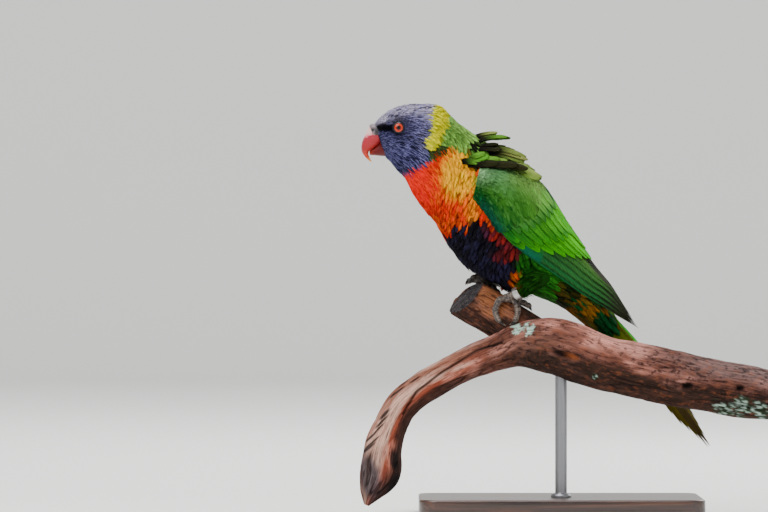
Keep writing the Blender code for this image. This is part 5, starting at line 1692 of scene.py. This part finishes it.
@dataclass
class Perch:
    """The cut branch: a long limb, and the sawn stub that the bird stands on."""

    limb: Table = (
        (149.6, -38.5, 80.2, 16.3),
        (95.2, -37.5, 88.4, 18.0),
        (47.6, -33.0, 98.6, 18.4),
        (27.2, -28.8, 104.0, 18.6),
        (6.8, -22.5, 111.2, 19.4),
        (-10.2, -17.0, 115.3, 18.6),
        (-27.2, -13.2, 116.3, 15.4),
        (-44.2, -11.0, 109.8, 11.8),
        (-61.2, -10.3, 102.7, 11.2),
        (-78.2, -10.0, 94.5, 10.8),
        (-95.2, -10.0, 84.0, 10.7),
        (-108.8, -10.2, 72.1, 10.9),
        (-116.3, -10.5, 57.1, 11.6),
        (-120.9, -11.0, 42.2, 13.2),
        (-123.2, -11.5, 27.2, 13.6),
        (-128.2, -12.0, 15.0, 7.8),
        (-131.6, -12.3, 6.5, 1.6),
    )
    stub_root: Triple = (-17.0, -8.0, 118.3)
    stub_end: Triple = (-63.0, 4.0, 146.6)
    stub_radius: float = 15.2
    cut: Triple = (-60.8, 0.0, 148.6)
    cut_face: Triple = (-0.705, -0.25, 0.664)
    crack_line: Line = (
        (-40.1, 117.0), (-57.1, 111.5), (-80.9, 96.6), (-97.9, 83.6), (-106.8, 68.7)
    )
    # Centre x and z, half sizes and turn in degrees of each charred stripe.
    chars: tuple[tuple[Spot, Spot, float], ...] = (
        ((-106.5, 92.0), (7.0, 1.1), 40), ((-108.5, 88.0), (8.0, 0.8), 38), ((-110.5, 83.5), (7.0, 0.7), 38),
        ((-99.0, 91.5), (5.0, 0.6), 34), ((-119.5, 68.0), (6.5, 1.4), 46), ((-121.0, 63.5), (8.0, 1.0), 46),
        ((-123.5, 58.5), (7.0, 0.7), 46), ((-128.5, 53.0), (8.0, 0.9), 44), ((-128.0, 49.0), (9.0, 0.8), 42),
        ((-131.0, 45.0), (8.0, 1.3), 40), ((-112.0, 18.0), (8.0, 14.0), -12),
        ((-112.5, 38.0), (3.0, 10.0), 8),
    )

    def stub_frame(self) -> tuple[Array, Array, Array, Array]:
        """The stub's root, its axis, and unit vectors to its top and its left side."""
        root, end = np.array(self.stub_root), np.array(self.stub_end)
        axis = end - root
        top = -unit(np.array([-axis[2], 0.0, axis[0]]))
        left = unit(np.cross(top, axis))
        return root, axis, top, left * -np.sign(left[1])

    def stub_point(self, share: Array, degrees: Array, above: Array) -> Array:
        """A point by the stub: share of its length, degrees from top to left, height over its axis."""
        root, axis, top, left = self.stub_frame()
        angle = np.radians(np.asarray(degrees, float))[..., None]
        radial = top * np.cos(angle) + left * np.sin(angle)
        share, above = (np.asarray(value, float)[..., None] for value in (share, above))
        return root + axis * share + radial * above

    def build(self) -> None:
        """Builds the limb and the stub."""
        bark = BarkFinish().material()
        self.build_limb(bark)
        self.build_stub(bark)

    def build_limb(self, bark: Material) -> None:
        """The limb: rings square to its curved line, with grain ridges, cracks, knots and a crevice."""
        rows, sides = 520, 150
        place = np.linspace(0, len(self.limb) - 1, rows)
        values = curve_through(self.limb, place)
        ahead = unit(
            curve_through(self.limb, place + 0.05)[:, :3]
            - curve_through(self.limb, place - 0.05)[:, :3]
        )
        beside = unit(np.array([0.0, 1.0, 0.0]) - ahead * ahead[:, 1:2])
        top = np.cross(beside, ahead)
        angles = turns(sides)
        radial = spokes(top, beside, angles)
        swell = 1 + 0.035 * (
            0.6 * np.sin(3 * angles + 1.7 * place[:, None]) + 0.4 * np.sin(5 * angles - 2.3 * place[:, None])
        )
        radius = values[:, 3:4] * swell
        length = reach_along(values[:, :3])[:, None]
        straight = self.drawn_straight(length + 0 * angles, 16, angles)
        points = values[:, None, :3] + radial * radius[..., None]
        relief, crack = self.relief(straight)
        near = points[..., 1] < values[:, None, 1]
        hole = self.pit(points, near, (2.0, 108.9), (10.5, 2.6), -16)
        hole = np.maximum(hole, self.pit(points, near, (83.6, 88.4), (4.2, 2.8), 10))
        hole = np.maximum(hole, self.pit(points, near, (119.0, 87.0), (3.4, 2.4), 0))
        split = near * eased(1.4, 0.2, np.abs(beyond(self.crack_line, points[..., 0], points[..., 2])))
        thin = np.clip(values[:, 3:4] / 10, 0.25, 1)
        points = points + radial * ((relief - 0.9 * crack - 1.2 * split) * thin - 3.0 * hole)[..., None]
        limb = add_tube("limb_wood", points)
        x, z = points[..., 0], points[..., 2]
        groove = near * eased(1.4, 0.3, np.abs(beyond(self.crack_line, x, z)))
        tone, bare = self.limb_tones(points, straight, np.cos(angles)[None, :], near)
        # Painted shade: the pits are near black inside, turning reddish brown towards +X in the crevice.
        inside = mixed("#0E0907", "#8A4A28", eased(-3.0, 6.0, x - 2.0) * (x < 20))
        tone = mixed(tone, inside, np.clip(1.2 * hole, 0, 0.95))
        tone = mixed(tone, "#120C0A", np.clip(0.75 * crack + 0.85 * groove, 0, 0.95))
        bare = bare * (1 - hole) * (1 - groove)
        set_colour(limb, "tone", tone.reshape(-1, 3), bare.ravel())
        set_vector(limb, "grain", straight.reshape(-1, 3))
        place_piece(limb, Slot.BARK, bark, "perch_branch")

    def limb_tones(self, points: Array, straight: Array, rise: Array, near: Array) -> tuple[Array, Array]:
        """Colours of the limb: reddish wood, painted shade beneath and round the fork, pale worn wood with
        painted light on top, and char on the hanging part.

        Args:
            points: The limb's points.
            straight: The same points with the limb drawn straight, for noise along the grain.
            rise: How far up, or outwards on the hanging part, each point looks, from -1 to 1.
            near: Whether each point is on the side that faces -Y.

        Returns:
            The colours, and how bare each point is of bark, char and lichen.
        """
        x, z = points[..., 0], points[..., 2]
        patchy = layered_noise(straight / np.array([38.0, 14.0, 14.0]), 4, 31)
        fine = layered_noise(straight / np.array([14.0, 4.0, 4.0]), 3, 37)
        level = rise + 0.28 * patchy + 0.12 * fine
        tone = mixed("#6E4236", "#D08C7C", eased(-0.6, 0.6, patchy + 0.5 * fine))
        tone = mixed(tone, "#745F5C", 0.75 * eased(30.0, 95.0, x + 20 * patchy) * eased(-0.2, 0.5, level))
        # Painted shade: darker on the sides and underside round the fork, under the stub and the bird.
        fork_shade = np.exp(-(((x + 18.0) / 22.0) ** 2)) * eased(0.75, 0.1, level)
        tone = mixed(tone, "#5A3C30", 0.75 * fork_shade)
        # Painted shade: dark brown on the underside, fading out towards the hanging part.
        tone = mixed(tone, "#2E2019", 0.92 * eased(0.06, -0.45, level) * eased(-50.0, -20.0, x))
        worn = eased(-42.0, -76.0, x + 6 * patchy)
        strip = mixed("#A8523C", "#D98670", eased(-0.5, 0.6, fine))
        pale = mixed("#A86C58", "#E0B09C", eased(-0.6, 0.7, patchy + 0.7 * fine))
        # On the hanging part: paler where it faces up, partly worn wood and partly painted light from above,
        # and darker beneath as painted shade.
        hanging = mixed(strip, pale, eased(-0.05, 0.35, level))
        hanging = mixed(hanging, "#3C2A24", 0.92 * eased(-0.12, -0.5, level))
        tone = mixed(tone, hanging, worn)
        char = 0 * x
        for centre, size, turn in self.chars:
            stripe = self.pit(points + 0.9 * fine[..., None], near | (z < 40), centre, size, turn)
            char = np.maximum(char, stripe)
        tone = mixed(tone, "#1C1819", 0.92 * char)
        facet = self.pit(points + 1.5 * fine[..., None], near, (-129.5, 26.5), (10.0, 19.5), 8)
        tone = mixed(tone, mixed("#221E22", "#564F56", eased(-0.5, 0.6, fine)), 0.92 * facet)
        lichen = self.lichen(points, near)
        crust = layered_noise(points / 1.8, 3, 97) + 0.9 * (x < 0)
        green = mixed("#26321F", "#C4E0D0", eased(-0.1, 0.9, crust))
        tone = mixed(tone, green, lichen)
        return tone, (1 - lichen) * (1 - char) * (1 - facet) * (1 - 0.6 * worn)

    def drawn_straight(self, length: Array, radius: Array | float, angles: Array) -> Array:
        """Places on a straight round piece of wood, for noise along its grain."""
        across, up = radius * np.cos(angles) + 0 * length, radius * np.sin(angles) + 0 * length
        return np.stack([length, across, up], axis=-1)

    def relief(self, straight: Array) -> tuple[Array, Array]:
        """Height of the grain's ridges, and a crack's share, where drawn-out noise comes near zero."""
        ridges = layered_noise(straight / np.array([42.0, 7.0, 7.0]), 4, 17)
        lumps = layered_noise(straight / np.array([26.0, 20.0, 20.0]), 3, 23)
        lines = layered_noise(straight / np.array([60.0, 9.0, 9.0]), 3, 41)
        crack = eased(0.10, 0.0, np.abs(lines)) * eased(-0.2, 0.5, lumps + 0.3)
        return 0.75 * ridges + 0.9 * lumps, crack

    def pit(self, points: Array, near: Array, centre: Spot, size: Spot, turn: float) -> Array:
        """Share of an oval pit on the side that faces -Y."""
        return near * eased(1.2, 0.5, oval_reach(points, centre, size, turn))

    def lichen(self, points: Array, near: Array) -> Array:
        """Share of pale lichen: ragged spots on the side that faces -Y."""
        ragged = layered_noise(points / 3.0, 3, 53)
        spots = (
            ((-30.5, 126.5), 4.6), ((-22.0, 126.0), 5.0), ((22.0, 94.5), 2.2), ((110.0, 73.0), 9.0),
            ((121.0, 74.0), 10.0), ((135.0, 71.0), 10.0), ((146.0, 69.0), 8.0),
        )
        share = np.zeros(points.shape[:-1])
        for centre, size in spots:
            reach = np.hypot(points[..., 0] - centre[0], points[..., 2] - centre[1]) / size
            share = np.maximum(share, eased(0.15, 0.45, 1.0 - reach + 0.55 * ragged) * near * (reach < 1.3))
        return share

    def build_stub(self, bark: Material) -> None:
        """The stub: its side up to the saw cut, then the cut face in rings towards its middle."""
        sides, rows, face_rows = 144, 150, 40
        root, axis, top, left = self.stub_frame()
        angles = turns(sides)
        radial = top * np.cos(angles)[:, None] + left * np.sin(angles)[:, None]
        normal, cut = np.array(self.cut_face), np.array(self.cut)

        def reach_of(radius: Array) -> Array:
            """The share of the axis at which a line beside it meets the saw cut."""
            return ((cut - root - radial * radius) @ normal) / (axis @ normal)

        side_share = np.linspace(0, 1, rows)[:, None]
        end = reach_of(np.full((sides, 1), self.stub_radius))[None, :]
        share = -0.1 + (end + 0.1) * side_share
        length = share * np.linalg.norm(axis)
        straight = self.drawn_straight(length, 15, angles)
        relief, crack = self.relief(straight + 300)
        fade = eased(1.0, 0.93, side_share)
        flaked = layered_noise((straight + 300) / np.array([14.0, 6.0, 6.0]), 3, 29)
        grown = np.minimum(0.9 * relief, 0.1) - 0.9 * crack - 0.7 * eased(0.0, 0.5, flaked)
        radius = self.stub_radius - 0.35 + grown
        radius = radius - 1.6 * (1 - fade) * eased(-0.4, 0.6, flaked)
        side = root + axis * share[..., None] + radial[None] * radius[..., None]
        inner = np.linspace(1, 0.02, face_rows)[:, None]
        face_radius = radius[-1][None, :] * inner
        ends = np.stack([reach_of(row[:, None]) for row in face_radius])
        spot = [face_radius * np.cos(angles) / 2.2, face_radius * np.sin(angles) / 2.2, 0 * face_radius]
        rough = layered_noise(np.stack(spot, -1), 3, 61)
        checks = eased(0.2, 0.0, np.abs(np.sin(2.5 * angles + 0.6 * rough + 0.4))) * eased(0.1, 0.5, inner)
        dip = (0.6 * rough - 1.3 * checks - 0.5) / np.linalg.norm(axis) * eased(1.0, 0.93, inner)
        face = root + axis * (ends + dip)[..., None] + radial[None] * face_radius[..., None]
        points = np.concatenate([side, face[1:]])
        stub = add_tube("stub_wood", points)
        patchy = layered_noise(straight / np.array([20.0, 12.0, 12.0]), 4, 71)
        tone = mixed("#3E2820", "#8A5844", eased(-0.6, 0.7, patchy + 0.6 * flaked))
        bare = eased(0.0, 0.5, patchy) * eased(0.2, 0.6, share)
        tone = mixed(tone, "#A9683F", 0.7 * bare)
        tone = mixed(tone, "#120C0A", 0.8 * crack)
        rings = 0.5 + 0.5 * np.sin(face_radius * 3.6 + 2.5 * rough)
        cut_tone = mixed("#2C282B", "#615A5C", rings * 0.6 + 0.4 * eased(-0.5, 0.5, rough))
        cut_tone = mixed(cut_tone, "#171310", 0.85 * checks)
        tones = np.concatenate([tone, cut_tone[1:]])
        warm = np.concatenate([0.8 + 0 * share, 0.0 * ends[1:]])
        set_colour(stub, "tone", tones.reshape(-1, 3), warm.ravel())
        face_grain = self.drawn_straight(0 * face_radius + length.max(), face_radius, angles)
        set_vector(stub, "grain", np.concatenate([straight, face_grain[1:]]).reshape(-1, 3))
        place_piece(stub, Slot.BARK, bark)


@dataclass
class Feet:
    """Tarsi, scaled toes that grip the stub, their claws, the feathered thighs and the leg ring."""

    perch: Perch
    toe_clearance: float = 0.45
    toe_radius: float = 2.2
    tarsus_radius: float = 2.6
    claw_radius: float = 1.35
    claw_start: float = 0.76
    # For each foot, the pad's place on the stub, the hock, and the toes' routes on the stub.
    pads: tuple[Triple, ...] = ((0.53, 38.0, 0.9), (0.90, -30.0, 0.1))
    hocks: tuple[Triple, ...] = ((-25.4, -17.3, 153.2), (-37.6, 21.2, 158.2))
    toes: tuple[tuple[tuple[Triple, ...], ...], ...] = (
        (
            ((0.53, 38, 0.7), (0.59, 56, 0.3), (0.555, 82, 0), (0.45, 96, 0), (0.35, 98, 0.5)),
            ((0.52, 36, 0.7), (0.43, 34, 0.4), (0.325, 54, 0), (0.285, 77, 0.2), (0.32, 92, 0.6)),
            ((0.52, 34, 0.7), (0.40, 20, 0.3), (0.30, 5, 0.2), (0.235, -8, 0.2)),
            ((0.53, 34, 0.7), (0.53, 8, 0.3), (0.47, -24, 0), (0.42, -50, 0)),
        ),
        (
            ((0.90, -28, 0.1), (0.98, -22, 0.0), (1.05, -16, -0.3), (1.085, -4, -5.0), (1.085, 8, -10.0)),
            ((0.90, -32, 0.1), (1.00, -36, 0.0), (1.09, -40, -0.3), (1.135, -40, -5.0), (1.13, -38, -9.0)),
            ((0.90, -30, 0.1), (0.82, -32, 0), (0.75, -38, 0), (0.69, -50, 0), (0.66, -64, 0)),
            ((0.89, -32, 0.1), (0.85, -54, 0), (0.81, -76, 0), (0.79, -98, 0)),
        ),
    )
    thighs: tuple[Table, ...] = (
        ((-20.5, -18.6, 158.5, 7.6), (-13.5, -17.6, 161.5, 8.4), (-4.0, -15.4, 164.5, 6.0)),
        ((-30.5, 21.5, 162.5, 6.4), (-21.0, 20.8, 165.5, 7.2), (-10.0, 18.3, 168.0, 5.0)),
    )
    ring_place: float = 0.6
    ring_outer: float = 4.75
    ring_inner: float = 4.05
    ring_height: float = 4.0
    ring_drop: float = 0.9

    def pad(self, number: int) -> Array:
        """Where a foot's tarsus meets its toes."""
        share, degrees, above = self.pads[number]
        return self.perch.stub_point(share, degrees, self.toe_height + above)

    @property
    def toe_height(self) -> float:
        """How far a toe's middle lies from the stub's axis."""
        return self.perch.stub_radius + self.toe_clearance + self.toe_radius

    def tube_rings(self, centres: Array, radii: Array, sides: int) -> tuple[Array, Array]:
        """Rings about a curved line, and each point's direction away from it."""
        ahead = unit(np.gradient(centres, axis=0))
        guide = unit(np.cross(ahead[0], np.array([0.31, 0.82, 0.48])))
        beside = []
        for direction in ahead:
            guide = unit(guide - direction * (guide @ direction))
            beside.append(guide)
        beside = np.array(beside)
        other = np.cross(ahead, beside)
        radial = spokes(beside, other, turns(sides))
        return centres[:, None] + radial * radii[..., None], radial

    def scaled(self, centres: Array, radii: Array, scute: float, sides: int = 28) -> tuple[Array, Array]:
        """A scaly tube: overlapping scutes along it and small beads round its sides.

        A scute's height rises along it and drops at its end, as the share of a step.

        Args:
            centres: The tube's line.
            radii: Its radius at each place.
            scute: Length of a scute in millimetres.
            sides: Points in each ring.

        Returns:
            The rings and their colours.
        """
        reach = reach_along(centres)
        angles = turns(sides)
        phase = (reach[:, None] / scute + 0.5 * (np.floor(angles / (2 * math.pi) * 6) % 2)) % 1.0
        beads = np.abs(np.sin(3 * angles))[None, :]
        height = 0.10 * phase + 0.07 * beads - 0.14 * eased(0.88, 1.0, phase)
        rings, _ = self.tube_rings(centres, radii[:, None] * (1 + height), sides)
        groove = np.clip(eased(0.16, 0.0, phase) + eased(0.9, 1.0, phase) + eased(0.25, 0.0, beads), 0, 1)
        grit = layered_noise(rings / 1.3, 2, 83)
        tone = mixed("#2E2627", "#75675C", eased(-0.5, 0.9, grit + phase - 0.4))
        return rings, mixed(tone, "#15110F", 0.8 * groove)

    def toe_line(self, route: Sequence[Triple]) -> tuple[Array, Array, Array]:
        """A toe's centre line, its radius without the claw, and the share along it."""
        route = np.array(route, float)
        places = self.perch.stub_point(route[:, 0], route[:, 1], self.toe_height + route[:, 2])
        samples = np.linspace(0, len(places) - 1, 90)
        centres = curve_through(places, samples)
        share = samples / samples[-1]
        toe = self.toe_radius * (1.0 - 0.22 * share / self.claw_start + 0.06 * np.cos(share * 26))
        claw = self.claw_radius * np.clip((1 - share) / (1 - self.claw_start), 0.12, 1)
        radii = np.where(share < self.claw_start, toe, claw)
        root, axis, _, _ = self.perch.stub_frame()
        away = centres - root
        away = away - (away @ unit(axis))[:, None] * unit(axis)
        distance = np.linalg.norm(away, axis=1, keepdims=True)
        sink = np.where(distance[:, 0] > self.perch.stub_radius, radii - self.toe_radius, 0)
        return centres + sink[:, None] * away / distance, toe, share

    def build(self, finishes: Finishes) -> None:
        """Builds both legs and the ring."""
        scales = PaintedFinish("foot_scale_skin", 0.6, 0.5, 0.0001).material()
        horn = PaintedFinish("claw_horn", 0.3, 1.2, 0.00004).material()
        for number, name in enumerate(("left", "right")):
            self.build_foot(number, name, scales, horn)
            self.build_thigh(number, name, finishes)
        self.build_ring()

    def build_foot(self, number: int, name: str, scales: Material, horn: Material) -> None:
        """The tarsus, pad and toes as one scaly piece, and the four claws as another."""
        pad, hock = self.pad(number), np.array(self.hocks[number])
        rows, claw_sides = 60, 20
        line = pad + (hock - pad) * np.linspace(-0.12, 1.1, rows)[:, None]
        fullness = np.interp(np.linspace(0, 1, rows), (0, 0.2, 0.5, 1), (1.15, 1.0, 0.92, 1.1))
        radii = self.tarsus_radius * fullness
        pieces = [self.scaled(line, radii, 2.1)]
        claws = []
        for route in self.toes[number]:
            centres, toe, along = self.toe_line(route)
            kept = along <= self.claw_start + 0.02
            narrowing = (self.claw_start - 0.06, self.claw_start + 0.02)
            tapered = toe[kept] * np.interp(along[kept], narrowing, (1.0, 0.62))
            pieces.append(self.scaled(centres[kept], tapered, 1.5))
            rest = along >= self.claw_start - 0.05
            left = np.clip((1 - along[rest]) / (1 - self.claw_start), 0.03, 1.0)
            radii = (self.claw_radius * left**0.8)[:, None] + np.zeros((1, claw_sides))
            rings, _ = self.tube_rings(centres[rest], radii, claw_sides)
            tone = mixed("#17130F", "#6F675C", eased(0.5, 0.1, left))[:, None] + 0 * rings
            claws.append((rings, tone))
        # Painted shade: the far (right) foot's scales are darkened to half.
        far_shade = 0.5
        shade = 1.0 if number == 0 else far_shade
        pieces = [(rings, tone * shade) for rings, tone in pieces]
        self.joined(f"foot_scales_{name}", pieces, scales, f"foot_{name}")
        self.joined(f"claws_{name}", claws, horn)

    def joined(
        self, name: str, pieces: Sequence[tuple[Array, Array]], material: Material, *nodes: str
    ) -> None:
        """Joins closed tubes into one mesh with their colours."""
        points, faces, tones, start = [], [], [], 0
        for rings, tone in pieces:
            flat = rings.reshape(-1, 3)
            faces += [group + start for group in outward_faces(flat, tube_faces(*rings.shape[:2]))]
            points.append(flat)
            tones.append(tone.reshape(-1, 3))
            start += len(flat)
        obj = add_mesh(name, np.concatenate(points), faces)
        set_colour(obj, "tone", np.concatenate(tones))
        place_piece(obj, Slot.SCALES, material, *nodes)

    def build_thigh(self, number: int, name: str, finishes: Finishes) -> None:
        """The thigh: a tapering core with long fine feathers that fringe the hock."""
        pad, hock = self.pad(number), np.array(self.hocks[number])
        shin = unit(hock - pad)
        stations = np.array([(*(hock + 0.5 * shin), 3.0), (*(hock + 2 * shin), 3.6), *self.thighs[number]])
        rows, sides = 50, 32
        values = curve_through(stations, np.linspace(0, len(stations) - 1, rows))
        rings, radial = self.tube_rings(values[:, :3], values[:, 3:4] * 0.82 + np.zeros((1, sides)), sides)
        core = add_tube(f"thigh_skin_{name}", rings)
        set_colour(core, "plumage", linear("#123C0A"))
        place_piece(core, Slot.BREAST, SkinFinish(f"thigh_skin_{name}").material())
        draw = np.random.default_rng(SEED + 31 + number)
        count = 620
        row, column = draw.integers(2, rows - 4, count), draw.integers(0, sides, count)
        root, outward = rings[row, column], radial[row, column]
        down = unit(values[row - 1, :3] - values[row, :3] + 0.15 * draw.normal(0, 1, (count, 3)) * 0.3)
        down = unit(down - outward * (down * outward).sum(1, keepdims=True))
        tint = draw.normal(0, 1, count)
        tip = mixed("#0E3606", "#256212", eased(-1, 1.4, tint))
        front = eased(-25.0, -29.0, root[:, 0] + 0.8 * tint) * eased(163.0, 157.0, root[:, 2])
        tip = mixed(tip, "#D8480C", front)
        feathers = Feathers(
            root=root - outward * 0.3,
            along=down,
            outward=outward,
            length=draw.uniform(4.5, 7.5, count),
            width=draw.uniform(1.2, 2.2, count),
            lift=draw.uniform(0.15, 0.45, count),
            curl=draw.uniform(0.1, 0.5, count),
            # The darker base is painted shade over the covered root.
            base=tip * 0.5,
            tip=tip,
            streak=np.zeros(count),
            place=np.stack([0.85 + 0.1 * row / rows, 0.72 + 0.1 * number + 0.08 * column / sides], axis=-1),
        )
        shape = VaneShape(fullness=(0.6, 1.0, 0.9, 0.55, 0.25, 0.05), thickness=0.25)
        coat = build_feathers(f"coat_thigh_{name}", feathers, shape)
        place_piece(coat, Slot.BREAST, finishes[Slot.BREAST])

    def build_ring(self) -> None:
        """The plain metal leg ring, a rounded band that hangs loose on the left tarsus."""
        pad, hock = self.pad(0), np.array(self.hocks[0])
        axis = unit(hock - pad)
        down = np.array([0.0, 0.0, -1.0])
        down = unit(down - axis * (down @ axis))
        centre = pad + (hock - pad) * self.ring_place + down * self.ring_drop
        other = np.cross(axis, down)
        turn = turns(72)[:, None]
        middle, wall = (self.ring_outer + self.ring_inner) / 2, (self.ring_outer - self.ring_inner) / 2
        cosine, sine = squared_turn(turns(24), 0.25)
        across, height = middle + wall * cosine, self.ring_height / 2 * sine
        spoke = down * np.cos(turn) + other * np.sin(turn)
        rings = centre + spoke[:, None] * across[None, :, None] + axis * height[None, :, None]
        obj = add_tube("leg_band", rings, looped=True)
        place_piece(obj, Slot.STEEL, SteelFinish("dull_ring_steel", "#B4B0AC", 0.8).material(), "leg_ring")


@dataclass
class Stand:
    """The display stand: a dark wooden plinth and a steel rod up into the branch."""

    size: Triple = (192.0, 126.0, 12.0)
    corner: float = 12.0
    bevel: float = 1.6
    rod: Spot = (0.0, -20.2)
    rod_radius: float = 4.0
    rod_top: float = 101.9

    def build(self) -> None:
        """Builds the plinth and the rod."""
        turn = turns(96)
        quarter = np.linspace(0, math.pi / 2, 8)
        inset = np.concatenate([[self.bevel, 0.4, 0.0], self.bevel * (1 - np.cos(quarter))])
        level = np.concatenate([[0.0, 0.0, 0.4], self.size[2] - self.bevel * (1 - np.sin(quarter))])
        inset = np.concatenate([inset, [6.0, 14.0, 30.0]])
        level = np.concatenate([level, [self.size[2]] * 3])
        reach = self.corner - np.minimum(inset, self.corner - 0.5)[:, None]
        spare = np.maximum(inset - (self.corner - 0.5), 0)[:, None]
        x = np.sign(np.cos(turn)) * (self.size[0] / 2 - self.corner - spare) + reach * np.cos(turn)
        y = np.sign(np.sin(turn)) * (self.size[1] / 2 - self.corner - spare) + reach * np.sin(turn)
        plinth = add_tube("plinth", np.stack([x, y, level[:, None] + 0 * x], axis=-1))
        place_piece(plinth, Slot.WOOD, StainedWoodFinish().material(), "stand_base")
        low, wide = self.size[2] + 0.3, self.rod_radius
        profile = np.array([
            (0.3, low), (wide + 3.0, low), (wide + 3.0, low + 1.2), (wide + 2.2, low + 2.4),
            (wide + 0.1, low + 2.9), (wide, low + 3.2), (wide, self.rod_top), (0.3, self.rod_top),
        ])
        profile = np.repeat(profile, 2, axis=0)
        x = self.rod[0] + profile[:, 0:1] * np.cos(turn)
        y = self.rod[1] + profile[:, 0:1] * np.sin(turn)
        rod = add_tube("support_rod", np.stack([x, y, profile[:, 1:2] + 0 * x], axis=-1))
        rod.data.set_sharp_from_angle(angle=math.radians(35))
        place_piece(rod, Slot.STEEL, SteelFinish("brushed_rod_steel").material(), "stand_rod")


@dataclass
class Studio:
    """The pale floor and backdrop, the soft lights and the long-lens camera."""

    middle: Spot = (-119.7, 175.4)
    frame_width: float = 522.0
    distance: float = 4000.0
    sensor: float = 36.0

    def build(self) -> None:
        """Builds the bowl, the lights, the world and the camera."""
        self.build_bowl()
        self.build_lights()
        camera = bpy.data.cameras.new("long_lens")
        camera.sensor_width = self.sensor
        camera.lens = self.sensor * self.distance / self.frame_width
        camera.clip_end = 100.0
        obj = bpy.data.objects.new("camera", camera)
        obj.location = (self.middle[0] * MM, -self.distance * MM, self.middle[1] * MM)
        obj.rotation_euler = (math.pi / 2, 0.0, 0.0)
        bpy.context.scene.collection.objects.link(obj)
        bpy.context.scene.camera = obj

    def build_bowl(self) -> None:
        """A round floor whose rim curves up into a wall, as a quarter circle between two flats."""
        radius, flat, height, sides = 1200.0, 4300.0, 5000.0, 96
        quarter = np.linspace(0, math.pi / 2, 24)
        reach = np.concatenate([[1.0, 600.0], flat + radius * np.sin(quarter), [flat + radius]])[:, None]
        level = np.concatenate([[0.0, 0.0], radius * (1 - np.cos(quarter)), [height]])[:, None]
        turn = turns(sides)
        points = np.stack([reach * np.cos(turn), reach * np.sin(turn), level + 0 * turn], axis=-1)
        quads, middle, _ = tube_faces(*points.shape[:2])
        sweep = add_mesh("studio_bowl", points.reshape(-1, 3), [quads, middle])
        tree = NodeTree("pale_studio_paper")
        sweep.data.materials.append(tree.finish(Base_Color="#E6E6E2", Roughness=0.9))

    def build_lights(self) -> None:
        """Soft boxes above, in front and behind, and a pale sky all round."""
        for name, place, size, power, aim in (
            ("key", (-900.0, -1400.0, 1600.0), 1.3, 46.0, (-40.0, 0.0, 190.0)),
            ("fill", (1400.0, -1300.0, 700.0), 1.6, 8.0, (-40.0, 0.0, 170.0)),
            ("top", (-100.0, 50.0, 1900.0), 1.4, 50.0, (-30.0, 0.0, 150.0)),
            ("rim", (900.0, 1200.0, 1100.0), 0.9, 18.0, (-30.0, 0.0, 200.0)),
            ("wall", (0.0, 1600.0, 2600.0), 2.5, 110.0, (0.0, 5000.0, 900.0)),
        ):
            light = bpy.data.lights.new(name, "AREA")
            light.energy = power
            light.size = size
            obj = bpy.data.objects.new(name, light)
            away = np.array(place) - np.array(aim)
            obj.location = tuple(np.array(place) * MM)
            flat = math.hypot(away[0], away[1])
            obj.rotation_euler = (math.atan2(flat, away[2]), 0.0, math.atan2(away[0], -away[1]))
            bpy.context.scene.collection.objects.link(obj)
        world = bpy.data.worlds.new("studio_air")
        world.use_nodes = True
        world.node_tree.nodes["Background"].inputs["Color"].default_value = (0.85, 0.9, 1.0, 1.0)
        world.node_tree.nodes["Background"].inputs["Strength"].default_value = 0.45
        bpy.context.scene.world = world


def main() -> None:
    """Builds the bird, its perch and its stand in the studio."""
    logging.basicConfig(level=logging.INFO, format="%(name)s: %(message)s")
    finishes = {
        Slot.HEAD: FeatherFinish("violet_shaft_streaked_feather", barbs=3.0, shaft_width=0.001).material(),
        Slot.NAPE: FeatherFinish("green_nape_feather", barbs=5.0, shaft_width=0.001).material(),
        Slot.BREAST: FeatherFinish("flame_breast_feather", barbs=4.0, shaft_width=0.03).material(),
        Slot.WING: FeatherFinish("green_flight_feather", barbs=8.0, roughness=0.7, gloss=0.04).material(),
        Slot.TAIL: FeatherFinish("olive_tail_feather", barbs=9.0, roughness=0.7, gloss=0.04).material(),
    }
    form = BodyForm()
    bed = WingForm(form)
    perch = Perch()
    Studio().build()
    BodyPlumage(form, Markings()).build(finishes)
    for mirror in (False, True):
        Wing(bed, mirror).build(finishes)
    for side in (-1.0, 1.0):
        Tail(side=side).build(finishes)
    Ruff(form).build(finishes)
    Eyes(form).build()
    Bill(form).build()
    perch.build()
    Feet(perch).build(finishes)
    Stand().build()


if __name__ == "__main__":
    main()
